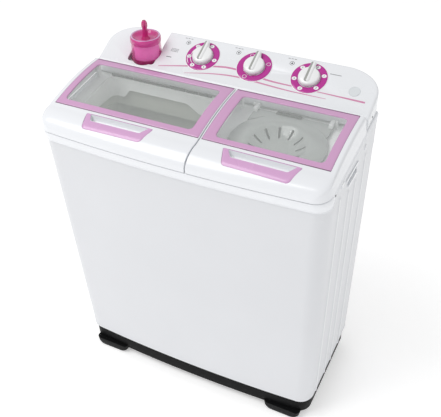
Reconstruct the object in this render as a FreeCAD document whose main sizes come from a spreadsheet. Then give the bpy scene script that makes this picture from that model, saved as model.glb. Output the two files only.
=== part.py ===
import FreeCAD, Part
import math
import operator
import os
import Sketcher

# Twin tub washing machine. Millimetres, +Z up, +X to the right of the front, which faces -Y.
# The origin is on the floor, under the middle of the machine.

Vector = FreeCAD.Vector
doc = FreeCAD.newDocument("twin_tub_washer")

# ---------------------------------------------------------------- driving dimensions
SIZES = {
    # cabinet
    "cabinet_half": 386.5,       # half width of the cabinet at its top edge
    "base_half": 374.0,          # half width of the cabinet at the base pan
    "front_top": 197.5,          # front corners, at the top edge, ahead of the middle
    "front_base": 173.5,         # the same at the base pan
    "front_bow": 11.0,           # how far the front bulges between its corners
    "corner": 42.0,              # radius of the front corners
    "side_back": 160.0,          # rear edge of the sides
    "back_half": 205.0,          # rearmost line of the machine
    "pad_height": 6.0,           # rubber under each foot
    "foot_top": 20.0,            # underside of the base tray
    "skirt_top": 74.0,
    "cabinet_top": 798.0,
    "rim_front": 831.0,          # top of the rim at the front
    "rim_slope": 0.103,          # rise of the rim towards the back
    "sheet_wall": 3.0,
    "split_gap": 0.8,            # open line between two outer covers
    # lids
    "seam_x": 46.0,              # where the two lids meet
    "seam_half": 1.6,
    "lid_overhang": 11.5,        # how far the lids stand ahead of the cabinet's top edge
    "lid_nose": 60.0,            # depth of the lids' rounded front
    "lid_nose_drop": 36.0,
    "lid_back": 66.0,
    "lid_axis_y": 64.0,
    "lid_axis_z": 892.0,
    "window_front": 137.7,
    "window_back": 62.3,
    "window_front_z": 877.7,
    "window_back_z": 903.8,
    "pin_radius": 3.0,
    "pin_play": 0.06,
    # control panel
    "panel_half": 385.0,
    "panel_front": 80.0,
    "panel_lip_z": 894.5,
    "panel_lip_y": 84.0,
    "panel_top_y": 199.5,
    "panel_top_z": 949.5,
    "ring_y": 149.5,             # where the dial rings' centres lie
    "ring_outer": 46.2,
    "knob_radius": 27.5,
    "knob_height": 14.0,
    "stem_radius": 4.0,
    # tubs and drives
    "wash_x": -159.0,
    "wash_y": -20.0,
    "tub_half_x": 188.0,
    "tub_half_y": 135.0,
    "tub_floor": 380.0,
    "tub_top": 771.0,
    "spin_x": 203.0,
    "spin_y": -48.0,
    "tank_radius": 124.0,
    "tank_floor": 400.0,
    "basket_radius": 106.0,
    "shaft_radius": 8.0,
    "shaft_play": 0.05,
    "pulley_radius": 85.0,
    "motor_pulley_radius": 22.0,
    "motor_x": -285.0,
    # inlet filter cup
    "cup_x": -254.0,
    "cup_y": 132.0,
    "cup_radius": 42.5,
    "cup_base": 889.0,
    "shelf_z": 892.0,
    "nipple_radius": 8.4,
}

sheet = doc.addObject("Spreadsheet::Sheet", "dims")
for row, (alias, size) in enumerate(SIZES.items(), start=1):
    sheet.set("A%d" % row, alias)
    sheet.set("B%d" % row, str(size))
    sheet.setAlias("B%d" % row, alias)
doc.recompute()


class Dim:
    """A size that knows both its number and the sheet expression that gives it."""

    def __init__(self, number, text):
        self.number = number
        self.text = text

    def __add__(self, other):
        return combined(self, "+", other)

    def __radd__(self, other):
        return combined(other, "+", self)

    def __sub__(self, other):
        return combined(self, "-", other)

    def __rsub__(self, other):
        return combined(other, "-", self)

    def __mul__(self, other):
        return combined(self, "*", other)

    def __rmul__(self, other):
        return combined(other, "*", self)

    def __truediv__(self, other):
        return combined(self, "/", other)

    def __neg__(self):
        return combined(0.0, "-", self)

    def __float__(self):
        return self.number


SIGNS = {"+": operator.add, "-": operator.sub, "*": operator.mul, "/": operator.truediv}


def text_of(size):
    return size.text if isinstance(size, Dim) else repr(float(size))


def combined(left, sign, right):
    text = "(%s %s %s)" % (text_of(left), sign, text_of(right))
    return Dim(SIGNS[sign](float(left), float(right)), text)


class Sheet:
    """The sheet's cells as Dim values: d.corner is the cell named corner."""

    def __getattr__(self, alias):
        return Dim(float(sheet.get(alias)), "dims." + alias)


d = Sheet()
subparts = []


def keep(item, label, place=None):
    """Name a sub-part, put it in its place and list it for export."""
    item.Label = label
    if place is not None:
        item.Placement = place
    subparts.append(item)
    return item


def place_at(x=0.0, y=0.0, z=0.0, axis=(1, 0, 0), angle=0.0):
    return FreeCAD.Placement(Vector(float(x), float(y), float(z)),
                             FreeCAD.Rotation(Vector(*axis), angle))


def bind(item, name, size):
    """Give a property its number, and its expression when the sheet drives it."""
    setattr(item, name, float(size))
    if isinstance(size, Dim):
        item.setExpression(name, size.text)


# ---------------------------------------------------------------- sketches and features
def origin_plane(body, role):
    return next(f for f in body.Origin.OriginFeatures if f.Role == role)


def sketch_on(body, role, offset=0.0):
    sketch = body.newObject("Sketcher::SketchObject", "Sketch")
    sketch.AttachmentSupport = [(origin_plane(body, role), "")]
    sketch.MapMode = "FlatFace"
    sketch.AttachmentOffset = place_at(z=offset)
    if isinstance(offset, Dim):
        sketch.setExpression("AttachmentOffset.Base.z", offset.text)
    return sketch


def pin_point(sketch, edge, spot, size, direction):
    """Hold one sketch point at a signed distance from the sketch's origin."""
    if not isinstance(size, Dim) and abs(size) < 1e-9:
        axis = -2 if direction == "DistanceX" else -1
        sketch.addConstraint(Sketcher.Constraint("PointOnObject", edge, spot, axis))
        return
    number = sketch.addConstraint(Sketcher.Constraint(direction, -1, 1, edge, spot, float(size)))
    if isinstance(size, Dim):
        sketch.setExpression("Constraints[%d]" % number, size.text)


def add_polygon(sketch, points):
    first = sketch.GeometryCount
    spots = [Vector(float(x), float(y), 0) for x, y in points]
    for here, there in zip(spots, spots[1:] + spots[:1]):
        sketch.addGeometry(Part.LineSegment(here, there))
    count = len(points)
    for step in range(count):
        meet = Sketcher.Constraint("Coincident", first + step, 2, first + (step + 1) % count, 1)
        sketch.addConstraint(meet)
    for step, (x, y) in enumerate(points):
        pin_point(sketch, first + step, 1, x, "DistanceX")
        pin_point(sketch, first + step, 1, y, "DistanceY")


def add_circle(sketch, x, y, radius):
    edge = sketch.addGeometry(Part.Circle(Vector(float(x), float(y), 0), Vector(0, 0, 1),
                                          float(radius)))
    pin_point(sketch, edge, 3, x, "DistanceX")
    pin_point(sketch, edge, 3, y, "DistanceY")
    number = sketch.addConstraint(Sketcher.Constraint("Radius", edge, float(radius)))
    if isinstance(radius, Dim):
        sketch.setExpression("Constraints[%d]" % number, radius.text)


def box_outline(x0, x1, y0, y1):
    return [(x0, y0), (x1, y0), (x1, y1), (x0, y1)]


def draw(sketch, outlines):
    """An outline is a list of points, or a circle given as (x, y, radius)."""
    for outline in outlines:
        if isinstance(outline, tuple):
            add_circle(sketch, *outline)
        else:
            add_polygon(sketch, outline)


def stack(label, steps, place=None, role="XY_Plane"):
    """A body of pads and pockets. A step is (add or cut, outlines, from height, to height)."""
    body = doc.addObject("PartDesign::Body", label)
    for action, outlines, low, high in steps:
        adding = action == "add"
        sketch = sketch_on(body, role, low if adding else high)
        draw(sketch, outlines)
        kind = "PartDesign::Pad" if adding else "PartDesign::Pocket"
        feature = body.newObject(kind, "Pad" if adding else "Pocket")
        feature.Profile = sketch
        bind(feature, "Length", high - low)
    return keep(body, label, place)


def lathe(label, profiles, place=None):
    """A body turned about its own Z axis. Each profile is a polygon of (radius, height)."""
    body = doc.addObject("PartDesign::Body", label)
    for profile in profiles:
        sketch = sketch_on(body, "XZ_Plane")
        add_polygon(sketch, profile)
        turned = body.newObject("PartDesign::Revolution", "Revolution")
        turned.Profile = sketch
        turned.ReferenceAxis = (sketch, ["V_Axis"])
        turned.Angle = 360
    return keep(body, label, place)


def drill(body, outlines, low, high, role="XY_Plane"):
    sketch = sketch_on(body, role, high)
    draw(sketch, outlines)
    cut = body.newObject("PartDesign::Pocket", "Pocket")
    cut.Profile = sketch
    bind(cut, "Length", high - low)
    return cut


def repeat_round(body, feature, count):
    """Repeat a feature about the body's Z axis."""
    pattern = body.newObject("PartDesign::PolarPattern", "PolarPattern")
    pattern.Originals = [feature]
    pattern.Axis = (origin_plane(body, "Z_Axis"), [""])
    pattern.Angle = 360
    pattern.Occurrences = count
    body.Tip = pattern
    return pattern


def repeat_along(body, feature, role, length, count):
    pattern = body.newObject("PartDesign::LinearPattern", "LinearPattern")
    pattern.Originals = [feature]
    pattern.Direction = (origin_plane(body, role), [""])
    pattern.Length = length
    pattern.Occurrences = count
    body.Tip = pattern
    return pattern


def freeform(label, shape):
    """A sub-part whose shape is worked out below from the sheet's sizes."""
    item = doc.addObject("Part::Feature", label)
    item.Shape = shape.removeSplitter()
    return keep(item, label)


# ---------------------------------------------------------------- shapes of the outer covers
def plan_outline(half, front, back, height, bow=None):
    """Plan of the cabinet: bowed front, round front corners, square back."""
    bow = float(d.front_bow) if bow is None else bow
    radius = float(d.corner)
    swing = radius * (1 - math.sqrt(0.5))
    left = Vector(-half, -front + radius, height)
    left_front = Vector(-half + radius, -front, height)
    right_front = Vector(half - radius, -front, height)
    right = Vector(half, -front + radius, height)
    left_mid = Vector(-half + swing, -front + swing, height)
    right_mid = Vector(half - swing, -front + swing, height)
    edges = [
        Part.Arc(left, left_mid, left_front).toShape(),
        Part.Arc(left_front, Vector(0, -front - bow, height), right_front).toShape(),
        Part.Arc(right_front, right_mid, right).toShape(),
        Part.LineSegment(right, Vector(half, back, height)).toShape(),
        Part.LineSegment(Vector(half, back, height), Vector(-half, back, height)).toShape(),
        Part.LineSegment(Vector(-half, back, height), left).toShape(),
    ]
    return Part.Wire(edges)


def tapered(low, high):
    """A solid between two plan outlines, each given as (half, front, back, height)."""
    solid = Part.makeLoft([plan_outline(*low), plan_outline(*high)], True, True)
    if solid.Volume < 0:
        solid.reverse()
    return solid


def side_prism(points, x0, x1):
    """A solid whose side view is the polygon of (y, z) points."""
    wire = Part.makePolygon([Vector(x0, y, z) for y, z in points + points[:1]])
    return Part.Face(wire).extrude(Vector(x1 - x0, 0, 0))


def block(x0, x1, y0, y1, z0, z1):
    return Part.makeBox(x1 - x0, y1 - y0, z1 - z0, Vector(x0, y0, z0))


def rim_height(y):
    """Height of the sloping line where the lids meet the rim."""
    return float(d.rim_front) + (y + 200.0) * float(d.rim_slope)


def seam_prism(lift, ceiling):
    """Everything between the upper edge of the cabinet, raised by lift, and a level."""
    points = [(-260, CABINET_TOP + lift), (-165, CABINET_TOP + lift),
              (-140, rim_height(-140) - 9 + lift), (230, rim_height(230) - 9 + lift),
              (230, ceiling), (-260, ceiling)]
    return side_prism(points, -450, 450)


BASE_HALF = float(d.base_half)
CABINET_HALF = float(d.cabinet_half)
FRONT_BASE = float(d.front_base)
FRONT_TOP = float(d.front_top)
SIDE_BACK = float(d.side_back)
SKIRT_TOP = float(d.skirt_top)
CABINET_TOP = float(d.cabinet_top)
WALL = float(d.sheet_wall)
GAP = float(d.split_gap)
SEAM = float(d.seam_x)
AXIS_Y = float(d.lid_axis_y)
AXIS_Z = float(d.lid_axis_z)
PIN = float(d.pin_radius)
PLAY = float(d.pin_play)
WASH_OPENING = (-343.0, 25.0, -151.0, 74.0)
EAR_INSET = 9.0
EAR_WIDE = 6.0


# ---------------------------------------------------------------- base and cabinet
def base_pan():
    """Black tray that carries the motors."""
    half = BASE_HALF - 5
    front = FRONT_BASE - 5
    back = SIDE_BACK - 6
    low = float(d.foot_top)
    tray = tapered((half, front, back, low), (half + 1, front + 1, back, SKIRT_TOP))
    hollow = tapered((half - 6, front - 6, back - 6, low + 5),
                     (half - 5, front - 5, back - 6, SKIRT_TOP + 1))
    freeform("base_pan", tray.cut(hollow))


def feet():
    """A block under each corner of the tray, and its rubber pad."""
    blocks = []
    for x in (-d.base_half + 74, d.base_half - 74):
        blocks.append(box_outline(x - 50, x + 50, -d.front_base + 7, -d.front_base + 61))
        blocks.append(box_outline(x - 50, x + 50, d.side_back - 68, d.side_back - 14))
    stack("foot_blocks", [("add", blocks, d.pad_height, d.foot_top)])
    spots = []
    for x in (-d.base_half + 74, d.base_half - 74):
        spots.append((x, -d.front_base + 38, 18.0))
        spots.append((x, d.side_back - 41, 18.0))
    stack("foot_pads", [("add", spots, 0.0, d.pad_height)])


def cabinet_shell():
    # the sides run on up to the sloping rim, so the walls are drawn past the front's top edge
    ceiling = 880.0
    growth = (ceiling - SKIRT_TOP) / (CABINET_TOP - SKIRT_TOP)
    high_half = BASE_HALF + (CABINET_HALF - BASE_HALF) * growth
    high_front = FRONT_BASE + (FRONT_TOP - FRONT_BASE) * growth
    outer = tapered((BASE_HALF, FRONT_BASE, SIDE_BACK, SKIRT_TOP),
                    (high_half, high_front, SIDE_BACK, ceiling))
    inner = tapered((BASE_HALF - WALL, FRONT_BASE - WALL, SIDE_BACK + 20, SKIRT_TOP - 1),
                    (high_half - WALL, high_front - WALL, SIDE_BACK + 20, ceiling + 1))
    rib_high = 2.4
    proud = tapered((BASE_HALF + rib_high, FRONT_BASE, SIDE_BACK, SKIRT_TOP),
                    (high_half + rib_high, high_front, SIDE_BACK, ceiling))
    # upright ribs pressed into each side: middle of the rib, and its upper end
    ribs = ((-113.0, 795.0), (-42.0, 766.0), (12.0, 762.0), (83.0, 795.0))
    shell = outer
    for y, top in ribs:
        bar = block(-CABINET_HALF - 5, CABINET_HALF + 5, y - 4, y + 4, SKIRT_TOP, top)
        shell = shell.fuse(proud.common(bar))
    shell = shell.cut(inner).cut(seam_prism(0, 950))
    # openings for the finger grips
    shell = shell.cut(block(-400, 400, -66, 12, 784, 810))
    freeform("cabinet_shell", shell)


def back_cover():
    low_half = d.base_half - 4
    top_half = d.cabinet_half - 5
    low = d.skirt_top + 3
    top = d.rim_front + (d.side_back + 200) * d.rim_slope - 11
    sheet_plan = [(-low_half, low), (low_half, low), (top_half, top), (-top_half, top)]
    body = stack("back_cover", [
        ("add", [sheet_plan], 0.0, 3.0),
        ("cut", [(-150.0, 132.0, 15.0)], 0.0, 3.0),
        ("cut", [(120.0, 118.0, 7.05)], 0.0, 3.0),
        ("cut", [box_outline(120.0, 290.0, 210.0, 216.0)], 0.0, 3.0),
    ], place_at(y=d.side_back - 1, axis=(1, 0, 0), angle=90))
    repeat_along(body, body.Tip, "Y_Axis", 120.0, 9)
    heads = []
    for x in (-320.0, 0.0, 320.0):
        for z in (100.0, 465.0, 830.0):
            heads.append((x, z, 5.5))
    stack("back_cover_screws", [("add", heads, 0.0, 2.6)],
          place_at(y=d.side_back + 1.6, axis=(1, 0, 0), angle=90))


def side_grips():
    """Finger cups let into both sides, just under the rim."""
    shape = None
    for side in (-1, 1):
        face = CABINET_HALF - 0.4
        cup = block(0, 26, -65.7, 11.7, 784.3, 809.7)
        cup = cup.cut(block(2, 27, -63, 9, 787, 807))
        flange = block(23.4, 26, -72, 18, 778, 815)
        flange = flange.cut(block(23, 27, -63, 9, 787, 807))
        grip = cup.fuse(flange)
        grip.translate(Vector(face - 22.5, 0, 0))
        if side < 0:
            grip = grip.mirror(Vector(0, 0, 0), Vector(1, 0, 0))
        shape = grip if shape is None else shape.fuse(grip)
    freeform("side_grips", shape)


def top_frame():
    """White moulding over both tubs: sloping rim, deck, two openings, hinge ears."""
    low = CABINET_TOP + GAP
    half = CABINET_HALF + 1.5
    front = FRONT_TOP + 1
    flare = 26.5
    outer = tapered((half, front, SIDE_BACK, low), (half, front + flare, SIDE_BACK, 880))
    inner = tapered((half - 4, front - 4, SIDE_BACK - 4, low - 1),
                    (half - 4, front + flare - 4, SIDE_BACK - 4, 881))
    slope = [(-260, rim_height(-260)), (230, rim_height(230)), (230, 990), (-260, 990)]
    outer = outer.cut(side_prism(slope, -450, 450))
    lowered = [(y, z - 4) for y, z in slope]
    inner = inner.cut(side_prism(lowered, -450, 450))
    shell = outer.cut(inner).common(seam_prism(GAP, 950))
    x0, x1, y0, y1 = WASH_OPENING
    apron = block(x0 - 3, x1 + 3, y0 - 3, y1 + 3, 773, 870)
    ring = Part.makeCylinder(float(d.tank_radius) - 6, 97, Vector(float(d.spin_x),
                             float(d.spin_y), 773))
    apron = apron.fuse(ring).cut(side_prism(slope, -450, 450))
    shell = shell.fuse(apron)
    shell = shell.cut(block(x0, x1, y0, y1, 700, 900))
    bore = Part.makeCylinder(float(d.tank_radius) - 9, 200, Vector(float(d.spin_x),
                             float(d.spin_y), 700))
    shell = shell.cut(bore)
    # ears that hold the lids' hinge pins
    for x in ear_places():
        ear = block(x, x + EAR_WIDE, AXIS_Y - 6, AXIS_Y + 6, 855, AXIS_Z)
        ear = ear.fuse(Part.makeCylinder(6, EAR_WIDE, Vector(x, AXIS_Y, AXIS_Z), Vector(1, 0, 0)))
        eye = Part.makeCylinder(PIN + PLAY, EAR_WIDE + 2, Vector(x - 1, AXIS_Y, AXIS_Z),
                                Vector(1, 0, 0))
        shell = shell.fuse(ear).cut(eye)
    # posts for the inner cover's pins
    for x in (92.0, 308.0):
        post = block(x, x + EAR_WIDE, 68, 77, 857, 872)
        eye = Part.makeCylinder(PIN + PLAY, EAR_WIDE + 2, Vector(x - 1, 72, 867),
                                Vector(1, 0, 0))
        shell = shell.fuse(post).cut(eye)
    if len(shell.Solids) != 1:
        raise RuntimeError("top_frame is not one piece")
    freeform("top_frame", shell)


def ear_places():
    wall = CABINET_HALF - 4
    return (-wall + EAR_INSET, SEAM - 20, SEAM + 20 - EAR_WIDE, wall - EAR_INSET - EAR_WIDE)


def rim_plugs():
    """Round plugs over the screws high up on both sides."""
    shape = None
    for side in (-1, 1):
        for y, z in ((-104.0, 823.0), (72.0, 816.0)):
            plug = Part.makeCylinder(5.5, 2.4, Vector(side * (CABINET_HALF + 0.6), y, z),
                                     Vector(side, 0, 0))
            shape = plug if shape is None else shape.fuse(plug)
    freeform("rim_plugs", shape)


# ---------------------------------------------------------------- lids
def lid_profile(inset):
    """Side view of a lid, moved inwards by inset."""
    front = FRONT_TOP + float(d.lid_overhang) + float(d.front_bow) - inset
    back = float(d.lid_back)
    tilt = math.atan2(float(d.window_back_z - d.window_front_z),
                      float(d.window_front + d.window_back))

    def top(y):
        run = y + float(d.window_front)
        return float(d.window_front_z) - inset / math.cos(tilt) + run * math.tan(tilt)

    nose = float(d.lid_nose) - inset
    drop = float(d.lid_nose_drop)
    brow = Vector(0, -front + nose, top(-front + nose))
    chin = Vector(0, -front, brow.z - drop)
    cheek = Vector(0, -front + nose * 0.283, brow.z - drop * 0.303)
    bottom = 0.4 if inset == 0 else -20
    start = Vector(0, -front + 1, rim_height(-front) + bottom)
    rear_low = Vector(0, back, rim_height(back) + bottom)
    rear_top = Vector(0, back, top(back))
    edges = [
        Part.LineSegment(start, chin).toShape(),
        Part.Arc(chin, cheek, brow).toShape(),
        Part.LineSegment(brow, rear_top).toShape(),
        Part.LineSegment(rear_top, rear_low).toShape(),
        Part.LineSegment(rear_low, start).toShape(),
    ]
    return Part.Face(Part.Wire(edges))


def lid_block(x0, x1, inset):
    face = lid_profile(inset)
    face.translate(Vector(x0, 0, 0))
    solid = face.extrude(Vector(x1 - x0, 0, 0))
    half = CABINET_HALF + 1.5 - inset
    front = FRONT_TOP + float(d.lid_overhang) - inset
    plan = tapered((half, front, 260, 780), (half - 10, front - 2, 260, 930))
    return solid.common(plan)


def window_place():
    """Placement of a lid's sloping top: local Y runs up the slope from the window's front."""
    tilt = math.degrees(math.atan2(float(d.window_back_z - d.window_front_z),
                                   float(d.window_front + d.window_back)))
    return place_at(y=-float(d.window_front), z=d.window_front_z, angle=tilt)


def on_slope(shape):
    shape.Placement = window_place()
    return shape


def lid(name, x0, x1, window, glass, grip):
    """One lid: shell, clear window under a tinted border, finger grip, hinge pins."""
    shell = lid_block(x0, x1, 0)
    hollow = lid_block(x0 + WALL, x1 - WALL, WALL)
    shell = shell.cut(hollow)
    wx0, wx1 = window
    gx0, gx1, gy0, gy1 = glass
    hx0, hx1, hy0, hy1 = grip
    slope_len = 201.7
    shell = shell.cut(on_slope(block(wx0 + 6, wx1 - 6, 6, slope_len - 6, -12, 12)))
    shell = shell.cut(on_slope(block(hx0 + 6, hx1 - 6, hy0 + 5, hy1 - 5, -12, 12)))
    # a flat seat under the grip's flange, since the rounded nose stands above the slope here
    shell = shell.cut(on_slope(block(hx0 - GAP, hx1 + GAP, hy0 - GAP, hy1 + GAP, 0, 12)))
    # the back edge is open between the ears, so that the lid can swing about its pins
    shell = shell.cut(block(x0 + 12, x1 - 12, AXIS_Y - 8, AXIS_Y + 30, 780, AXIS_Z + 5))
    pins = None
    for x in ear_places():
        if x0 < x < x1:
            on_left = x < (x0 + x1) / 2
            start = x - 5.4 if on_left else x - 0.5
            pin = Part.makeCylinder(PIN, EAR_WIDE + 5.9, Vector(start, AXIS_Y, AXIS_Z),
                                    Vector(1, 0, 0))
            near, far = (x0, x - 0.4) if on_left else (x + EAR_WIDE + 0.4, x1)
            boss = block(near, far, AXIS_Y - 5, AXIS_Y + 1.9, AXIS_Z - 5, AXIS_Z + 10)
            boss = boss.common(lid_block(x0, x1, 0))
            shell = shell.fuse(boss).cut(pin)
            pins = pin if pins is None else pins.fuse(pin)
    freeform(name + "_lid", shell)
    freeform(name + "_hinge_pins", pins)
    border = 2.0
    stack(name + "_window_frame", [
        ("add", [box_outline(wx0, wx1, 0.0, slope_len)], 0.0, border),
        ("cut", [box_outline(gx0, gx1, gy0, gy1)], 0.0, border),
    ], window_place())
    stack(name + "_window", [
        ("add", [box_outline(wx0 + 6.5, wx1 - 6.5, 6.5, slope_len - 6.5)], -3.0, 0.0),
    ], window_place())
    stack(name + "_grip", [
        ("add", [box_outline(hx0, hx1, hy0, hy1)], 0.0, 2.0),
        ("add", [box_outline(hx0 + 6.5, hx1 - 6.5, hy0 + 5.5, hy1 - 5.5)], -17.0, 0.5),
        ("cut", [box_outline(hx0 + 9, hx1 - 9, hy1 - 26, hy1 - 8)], -15.0, 2.0),
    ], window_place())


def spin_cover():
    """Round inner cover over the spin basket, hinged at its back."""
    slope = math.degrees(math.atan(float(d.rim_slope)))
    radius = 122.0
    axis_y = 72.0 - float(d.spin_y)
    disc = Part.makeCylinder(radius, 3.0, Vector(0, 0, 0.5))
    rim = Part.makeCylinder(radius, 7.0, Vector(0, 0, 0.5)).cut(
        Part.makeCylinder(radius - 3, 9.0, Vector(0, 0, 0)))
    dish = Part.makeCone(60, 70, 8.0, Vector(0, 0, -7.5))
    dish_in = Part.makeCone(57.5, 67.5, 9.0, Vector(0, 0, -5.0))
    tab = block(-103, 103, 60, axis_y - 6, 0.5, 3.5)
    cover = disc.fuse([rim, dish, tab]).cut(dish_in)
    for step in range(12):
        slot = block(22, 52, -2.5, 2.5, -20, 5)
        slot.rotate(Vector(0, 0, 0), Vector(0, 0, 1), step * 30.0 + 15.0)
        cover = cover.cut(slot)
    cover.rotate(Vector(0, 0, 0), Vector(1, 0, 0), slope)
    cover.translate(Vector(float(d.spin_x), float(d.spin_y), rim_height(float(d.spin_y))))
    pins = None
    for x in (99.0, 297.0):
        # the arm clears the deck behind its pin while it swings
        arm = block(x, x + 10, 52, 68, 859.5, 871).fuse(block(x, x + 10, 68, 76, 861.5, 871))
        cover = cover.fuse(arm)
        start = x - 6 if x < float(d.spin_x) else x + 2
        pin = Part.makeCylinder(PIN, 14, Vector(start, 72, 867), Vector(1, 0, 0))
        cover = cover.cut(pin)
        pins = pin if pins is None else pins.fuse(pin)
    freeform("spin_cover", cover)
    freeform("spin_cover_pins", pins)


# ---------------------------------------------------------------- control panel
def panel_slope():
    return math.atan2(float(d.panel_top_z - d.panel_lip_z), float(d.panel_top_y - d.panel_lip_y))


def panel_height(y):
    return float(d.panel_lip_z) + (y - float(d.panel_lip_y)) * math.tan(panel_slope())


def dial_place(x):
    y = float(d.ring_y)
    return place_at(x=x, y=y, z=panel_height(y), angle=math.degrees(panel_slope()))


DIALS = (("wash", -91.2), ("selector", 57.6), ("spin", 207.0))


def panel_plan(half, back, radius, low, high):
    """Plan of the panel housing: large round rear corners."""
    swing = radius * (1 - math.sqrt(0.5))
    edges = [
        Part.LineSegment(Vector(-half, 60, low), Vector(half, 60, low)).toShape(),
        Part.LineSegment(Vector(half, 60, low), Vector(half, back - radius, low)).toShape(),
        Part.Arc(Vector(half, back - radius, low), Vector(half - swing, back - swing, low),
                 Vector(half - radius, back, low)).toShape(),
        Part.LineSegment(Vector(half - radius, back, low),
                         Vector(-half + radius, back, low)).toShape(),
        Part.Arc(Vector(-half + radius, back, low), Vector(-half + swing, back - swing, low),
                 Vector(-half, back - radius, low)).toShape(),
        Part.LineSegment(Vector(-half, back - radius, low), Vector(-half, 60, low)).toShape(),
    ]
    return Part.Face(Part.Wire(edges)).extrude(Vector(0, 0, high - low))


def control_panel():
    half = float(d.panel_half)
    back = float(d.back_half)
    front = float(d.panel_front)
    under = 0.3
    rise = math.tan(panel_slope())
    outer_side = [
        (front, rim_height(front) + under), (front, 887), (float(d.panel_lip_y),
        float(d.panel_lip_z)), (float(d.panel_top_y), float(d.panel_top_z)), (back, 944),
        (back, 780), (SIDE_BACK + 1, 780), (SIDE_BACK + 1, rim_height(SIDE_BACK) + under),
    ]
    inner_side = [
        (front + 3, 800), (front + 3, 886), (float(d.panel_lip_y) + 2, panel_height(86.0) - 3.3),
        (float(d.panel_top_y) - 1, panel_height(198.5) - 3.3), (back - 3, 942), (back - 3, 775),
        (SIDE_BACK + 4, 775), (SIDE_BACK + 4, 800),
    ]
    outer = side_prism(outer_side, -half, half).common(panel_plan(half, back, 90, 770, 960))
    inner = side_prism(inner_side, -half + 3, half - 3)
    inner = inner.common(panel_plan(half - 3, back - 3, 87, 770, 960))
    shell = outer.cut(inner)
    # open shelf for the inlet filter cup, with a round seat
    cup = Vector(float(d.cup_x), float(d.cup_y), 0)
    shelf_z = float(d.shelf_z)
    seat_r = float(d.cup_radius) + 1.0
    seat_z = float(d.cup_base) - 0.4
    tray = side_prism([(front + 3.2, 885), (back - 3.2, 885), (back - 3.2, shelf_z + 4),
                       (front + 14, shelf_z + 1), (front + 3.2, 893)], -303, -211)
    tray = tray.common(outer)
    shell = shell.fuse(tray)
    shell = shell.cut(block(-300, -214, 90, back + 5, shelf_z, 960))
    shell = shell.cut(Part.makeCylinder(seat_r, 100, Vector(cup.x, cup.y, seat_z)))
    shell = shell.cut(Part.makeCylinder(9, 60, Vector(cup.x, cup.y, 860)))
    for _, x in DIALS:
        hole = Part.makeCylinder(float(d.stem_radius) + 3, 30, Vector(0, 0, -15))
        hole.Placement = dial_place(x)
        shell = shell.cut(hole)
    freeform("control_panel", shell)


def dials():
    """Three dial rings on the panel, the timers under it and the knobs over it."""
    under = {"wash": "wash_timer", "selector": "selector_switch", "spin": "spin_timer"}
    for name, x in DIALS:
        stack(name + "_dial_ring", [
            ("add", [(0.0, 0.0, d.ring_outer)], 0.0, 1.6),
            ("cut", [(0.0, 0.0, d.stem_radius + 4)], 0.0, 1.6),
        ], dial_place(x))
        stack(under[name], [
            ("add", [box_outline(-27.0, 27.0, -24.0, 24.0)], -38.0, -6.0),
            ("add", [(0.0, 0.0, 6.5)], -6.0, -3.6),
            ("cut", [(0.0, 0.0, d.stem_radius + 0.05)], -26.0, -3.6),
        ], dial_place(x))
        stack(name + "_knob", [
            ("add", [(0.0, 0.0, d.knob_radius)], 2.2, 2.2 + d.knob_height),
            ("add", [[(-9.0, -20.0), (9.0, -20.0), (7.0, 38.0), (-7.0, 38.0)]],
             2.2 + d.knob_height * 0.5, 12.0 + d.knob_height),
            ("add", [(0.0, 0.0, d.stem_radius)], -24.0, 4.0),
        ], dial_place(x))
    badge_y = float(d.ring_y) - 12 * math.cos(panel_slope())
    stack("panel_badge", [("add", [(0.0, 0.0, 14.5)], 0.0, 1.2)],
          place_at(x=328, y=badge_y, z=panel_height(badge_y),
                   angle=math.degrees(panel_slope())))


def filter_cup():
    """Inlet filter: cup, lid with hose nipple, and the cartridge inside."""
    r = d.cup_radius
    spot = place_at(x=d.cup_x, y=d.cup_y, z=d.cup_base)
    lathe("filter_cup", [[
        (6.0, 0.0), (r, 0.0), (r, 60.0), (r - 2.5, 60.0), (r - 2.5, 2.5), (6.0, 2.5),
    ]], spot)
    n = d.nipple_radius
    lathe("filter_lid", [[
        (4.0, 70.0), (20.0, 68.0), (r - 9, 72.0), (r - 5, 77.0), (r - 0.8, 74.0), (r - 0.5, 60.2),
        (r - 4.5, 60.2), (r - 4.5, 69.0), (r - 9, 69.0), (20.0, 65.0), (4.0, 65.0),
    ], [
        (3.5, 65.0), (n + 2, 66.0), (n - 1.4, 76.0), (n - 1.6, 97.0), (n, 100.0), (n, 107.0),
        (n - 3.2, 116.0), (3.5, 117.0),
    ]], spot)
    lathe("filter_cartridge", [[
        (24.0, 2.8), (27.0, 2.8), (31.0, 12.0), (31.0, 52.0), (28.0, 56.0), (24.0, 56.0),
    ]], spot)


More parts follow.
